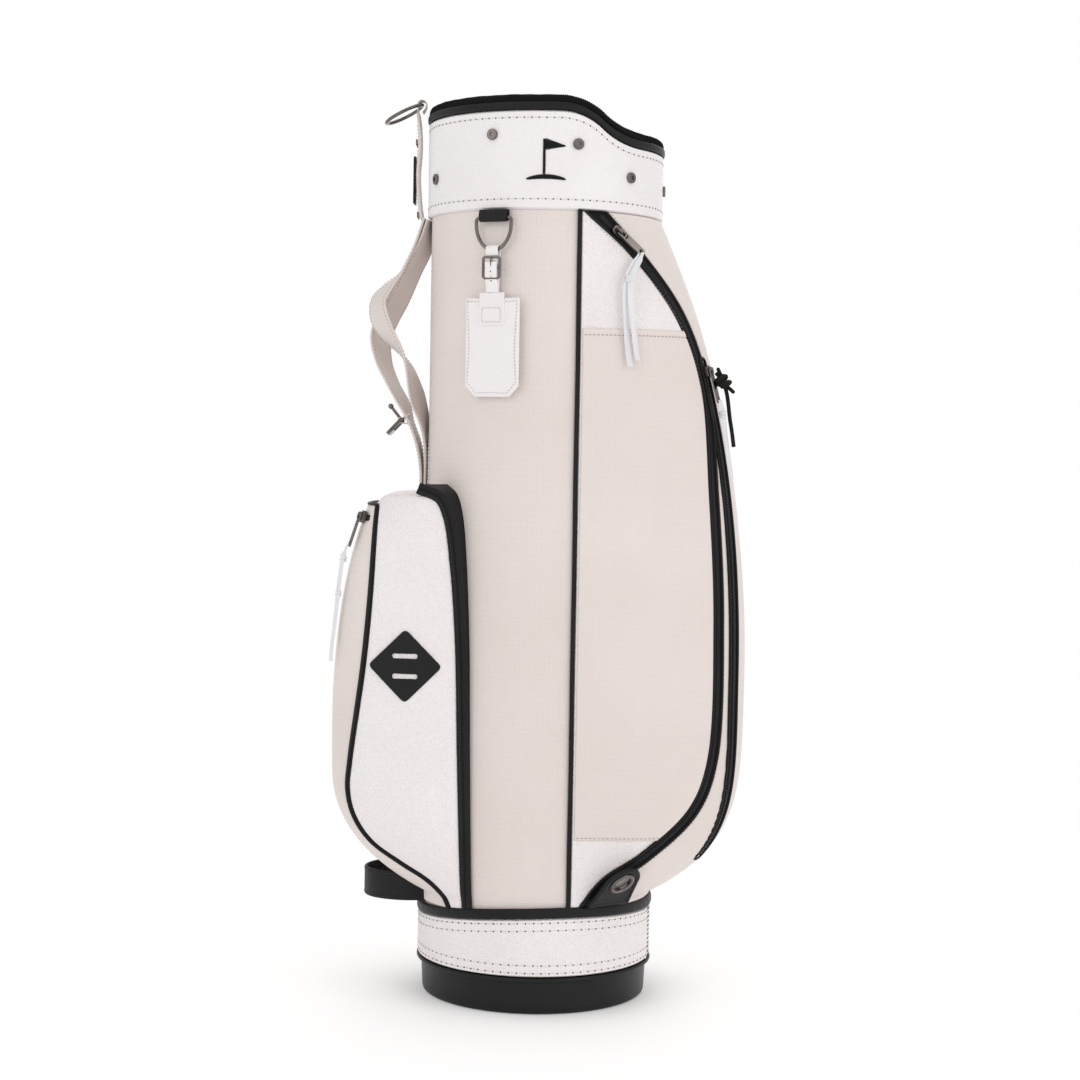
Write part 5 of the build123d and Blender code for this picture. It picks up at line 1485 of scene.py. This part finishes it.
def knot(name, centre, along, size, body, material, slot, seed, turns=2.6, strand=1.1):
    """A small tied knot: a strand wound over itself round the ribbon or cord."""
    centre, along = np.asarray(centre, float), unit(along)
    across = unit(np.cross(along, (0.2, 1.0, 0.1)))
    third = np.cross(along, across)
    t = np.linspace(0, 2 * pi * turns, 110)
    local = np.random.default_rng(seed)
    wobble = local.uniform(0.8, 1.2, 3)
    line = (centre + across * (np.cos(t) * size * (0.62 + 0.16 * np.sin(t * 0.77 * wobble[0])))[:, None]
            + third * (np.sin(t) * size * (0.62 + 0.14 * np.cos(t * 0.59 * wobble[1])))[:, None]
            + along * (np.sin(t * 0.38 * wobble[2] + seed) * size * 0.62)[:, None])
    made = Shapes()
    made.add(*tube(line, strand, 8))
    core = np.array([centre - along * size * 0.55, centre, centre + along * size * 0.55])
    made.add(*tube(core, size * 0.52, 10))
    return made.piece(name, material, body=body, slot=slot)


for word, flip in (("near", False), ("far", True)):
    side_facing = (0.25, -1.0, 0.1)
    y = 1 if flip else -1
    body = f"side_ribbons_{word}"
    tie = knot(f"side_pull_knot_{word}", (81.6, y * 113.4, 722.0), (-0.3, y * 0.2, -1), 3.6, body, RIBBON_CLOTH,
               "white_ribbon", 3)
    for letter, twist, knots in (("a", (-35, 12), [tie]), ("b", (30, -28), ())):
        ribbon(f"side_pull_ribbon_{letter}_{word}", f"side_ribbon_{letter}_{word}", body,
               ROUTES[f"side_{letter}"], RIBBON_WIDE["side"], side_facing, twist, flip)
tie = knot("front_pull_ribbon_knot", (178.6, -77.6, 592.5), (0.1, -0.1, -1), 3.8, "front_pull", RIBBON_CLOTH,
           "white_ribbon", 5)
ribbon("front_pull_ribbon", "front_ribbon", "front_pull", ROUTES["front"], RIBBON_WIDE["front"],
       (0.75, -0.65, 0.2), (25, -18))
cord_piece = nurbs_object("front_pull_cord", ROUTES["cord"])
cord_piece.data.bevel_depth = CORD_THICK / 2 * MM
cord_piece.data.bevel_resolution = 5
cord_piece.data.use_fill_caps = True
cord_piece.data.materials.append(CORD_CLOTH)
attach(cord_piece, "front_pull")
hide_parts("front_cord")
cord_knot = knot("front_pull_cord_knot", (178.6, -69.6, 625.2), (0.55, 0.0, -0.83), 7.6, "front_pull", CORD_CLOTH,
                 "dark_cord", 2, turns=3.4, strand=2.1)
made = Shapes()
made.add(*tube(smooth_line([(177.0, -70.5, 630.0), (174.5, -72.5, 634.5), (173.0, -75.5, 637.2)], 1.0), 1.9, 9))
made.add(*tube(smooth_line([(180.5, -69.0, 621.0), (184.8, -71.5, 618.5), (188.4, -73.6, 615.2)], 1.0), 1.9, 9))
ends = made.piece("front_pull_cord_ends", CORD_CLOTH, body="front_pull", slot="dark_cord")
cord_length = float(spaced_along(nurbs_points("cord_line", ROUTES["cord"]), 1.0)[1][-1])
ties = [knot(name, place, (lean, 0.0, -1), size, "ball_pull", RIBBON_CLOTH, "white_ribbon", seed)
        for name, place, lean, size, seed in (("ball_pull_knot_upper", (-196.4, -55.0, 443.0), -0.2, 4.2, 7),
                                              ("ball_pull_knot_lower", (-200.6, -57.2, 408.0), -0.1, 3.4, 9))]
ribbon("ball_pull_ribbon_a", "ball_ribbon_a", "ball_pull", ROUTES["ball_a"], RIBBON_WIDE["ball"],
       (-0.8, -0.6, 0.1), (20, -25))
ribbon("ball_pull_ribbon_b", "ball_ribbon_b", "ball_pull", ROUTES["ball_b"], RIBBON_WIDE["ball"],
       (-0.8, -0.6, 0.1), (-30, 15))

# ---------------------------------------------------------------- dividers

made = Shapes()
DIVIDER_X, GRID_R = 38.0, 104.6
PAD_SIDE = ((-1, -45.7), (-1, -40), (-1, -30), (-1, -20), (-0.97, -15.5), (-0.85, -12.6), (-0.6, -10.9),
            (-0.3, -10.3))                  # half of a bar's section: shares of its half width, and heights


def divider_pad(shapes, start, end, half):
    """Padded bar between two plan points, sloping with the rim, rounded along its top."""
    start, end = np.asarray(start, float), np.asarray(end, float)
    count = 46
    line = start + (end - start) * np.linspace(0, 1, count)[:, None]
    top = rim_z(line[:, 0])
    run = unit(end - start)
    side = np.array((-run[1], run[0]))
    rows = []
    for (x, y), high, share in zip(line, top, np.linspace(0, 1, count)):
        pinch = 1 - 0.10 * np.exp(-((share - 0.5) / 0.02) ** 2)
        outline = [(a * half * 0.97 * pinch, b) for a, b in
                   (*PAD_SIDE, (0, -10.15), *[(-a, b) for a, b in reversed(PAD_SIDE)])]
        rows.append([(x + side[0] * a, y + side[1] * a, high + b) for a, b in outline])
    shapes.add(*closed_band(np.array(rows)))


divider_pad(made, (-GRID_R, 0), (GRID_R, 0), 5.0)
for x in (-DIVIDER_X, DIVIDER_X):
    deep = sqrt(GRID_R ** 2 - (DIVIDER_X + 5) ** 2)
    for side in (-1, 1):
        divider_pad(made, (x, side * 5.35), (x, side * deep), 5.0)
made.piece("divider_top_pads", DIVIDER_CLOTH, slot="divider_fabric", replaces="divider_grid")

PANEL_R, SHEET_LOW = 103.6, 6.6


def divider_sheet(name, start, end, seed):
    """Full-length cloth divider, hanging with a little slack between its bars and the base."""
    start, end = np.asarray(start, float), np.asarray(end, float)
    side = unit(np.array((-(end - start)[1], (end - start)[0])))
    us, vs = np.linspace(0, 1, 24), np.linspace(0, 1, 60)
    top = rim_z(start[0] + (end - start)[0] * us) - 46.6
    local = np.random.default_rng(seed)
    phase = local.uniform(0, 6.28, 3)
    front, back = [], []
    for v in vs:
        z = SHEET_LOW + (top - SHEET_LOW) * v
        wander = np.sin(v * 5 + phase[0]) * 0.6 + np.sin(us * 4 + phase[1]) * 0.4
        slack = 0.9 * np.sin(v * pi) * (np.sin(us * pi)) * wander
        at = start + (end - start) * us[:, None]
        front.append(np.column_stack([at + side * (slack + 0.9)[:, None], z]))
        back.append(np.column_stack([at + side * (slack - 0.9)[:, None], z]))
    front, back = np.array(front), np.array(back)
    normals = np.broadcast_to(np.array((side[0], side[1], 0.0)), back.shape)
    shapes = Shapes()
    shapes.add(*panel(back, normals, 1.8, edge=0.8))
    piece = shapes.piece(name, DIVIDER_CLOTH, slot="divider_fabric", replaces="divider_panels")


divider_sheet("divider_sheet_middle", (-PANEL_R, 0), (PANEL_R, 0), 1)
for k, x in enumerate((-DIVIDER_X, DIVIDER_X)):
    deep = sqrt(PANEL_R ** 2 - (DIVIDER_X + 1) ** 2)
    for side, word in ((-1, "near"), (1, "far")):
        divider_sheet(f"divider_sheet_{('back', 'front')[k]}_{word}", (x, side * 1.5), (x, side * deep),
                      seed=4 + 2 * k + side)

# ---------------------------------------------------------------- generic embroidered mark on the collar

SATIN_PITCH = 0.8

def collar_point(x, up, out):
    """Point on the collar: x along its curve from the -Y side, up from its lower edge."""
    x, up, out = np.broadcast_arrays(*(np.asarray(v, float) for v in (x, up, out)))
    return around(np.degrees(x / COLLAR_R), COLLAR_R + out, 787.0 + up)


def satin(shapes, spine, widths):
    """Satin stitch: close parallel threads across a spine, each as long as the shape is wide there."""
    spine = np.asarray(spine, float)
    runs = runs_along(spine)
    for at in np.arange(SATIN_PITCH / 2, runs[-1], SATIN_PITCH):
        p = values_at(at, runs, spine)
        way = unit(values_at(min(at + 0.3, runs[-1]), runs, spine) - values_at(max(at - 0.3, 0), runs, spine))
        across = np.array((-way[1], way[0]))
        half = np.interp(at, runs, widths) / 2
        shares = np.linspace(-1, 1, 7)
        flat = p[None] + across[None] * (shares * half)[:, None]
        arch = 0.75 * (1 - np.abs(shares) ** 2.6)
        line = collar_point(flat[:, 0], flat[:, 1], arch - 0.1)
        shapes.add(*swept(line, circle(0.42, 6), normals=unit(line * (1, 1, 0)),
                          scale=(0.6, 0.9, 1, 1, 1, 0.9, 0.6)))


made = Shapes()
satin(made, [(-2.0, 33.5), (-2.0, 67.5)], [2.6, 2.6])        # the pole
satin(made, [(-0.9, 62.0), (18.6, 60.6)], [11.6, 0.9])       # its flag
t = np.linspace(-1, 1, 25)                                   # the green
satin(made, [(k * 19.0, 31.0 - 2.4 * k * k) for k in t], list(4.6 * np.sqrt(1 - (0.97 * t) ** 2)))
made.piece("collar_embroidered_mark", BLACK_STITCH, slot="black_knit")

# ---------------------------------------------------------------- floor

REACH = 6.0                                 # metres, as are the next two
SHADE_FROM, SHADE_TO = 0.16, 0.42           # the ground's own shade fades out between the two
floor_mesh = bpy.data.meshes.new("floor")
floor_mesh.from_pydata([(-REACH, -REACH, 0), (REACH, -REACH, 0), (REACH, REACH * 3, 0), (-REACH, REACH * 3, 0)],
                       [], [(0, 1, 2, 3)])
floor = place_in_scene("floor", floor_mesh)
floor_paint, floor_tree, floor_shader = new_material("white_ground", (0.95, 0.95, 0.95), 0.7, specular=0.05)
out_from_bag = add_node(floor_tree, "ShaderNodeVectorMath", place_of(floor_tree), operation="LENGTH")
fade = add_node(floor_tree, "ShaderNodeMapRange", interpolation_type="SMOOTHSTEP",
                Value=out_from_bag.outputs["Value"], From_Min=SHADE_FROM, From_Max=SHADE_TO)
even_white = add_node(floor_tree, "ShaderNodeEmission", Color=PLAIN_WHITE, Strength=1.0)
ground = add_node(floor_tree, "ShaderNodeMixShader", fade.outputs["Result"], floor_shader.outputs[0],
                  even_white.outputs[0])
floor_tree.links.new(ground.outputs[0], floor_tree.nodes["Material Output"].inputs["Surface"])
floor_shader.inputs["Emission Color"].default_value = PLAIN_WHITE
floor_shader.inputs["Emission Strength"].default_value = 0.16
floor_mesh.materials.append(floor_paint)
floor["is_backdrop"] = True

low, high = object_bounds()
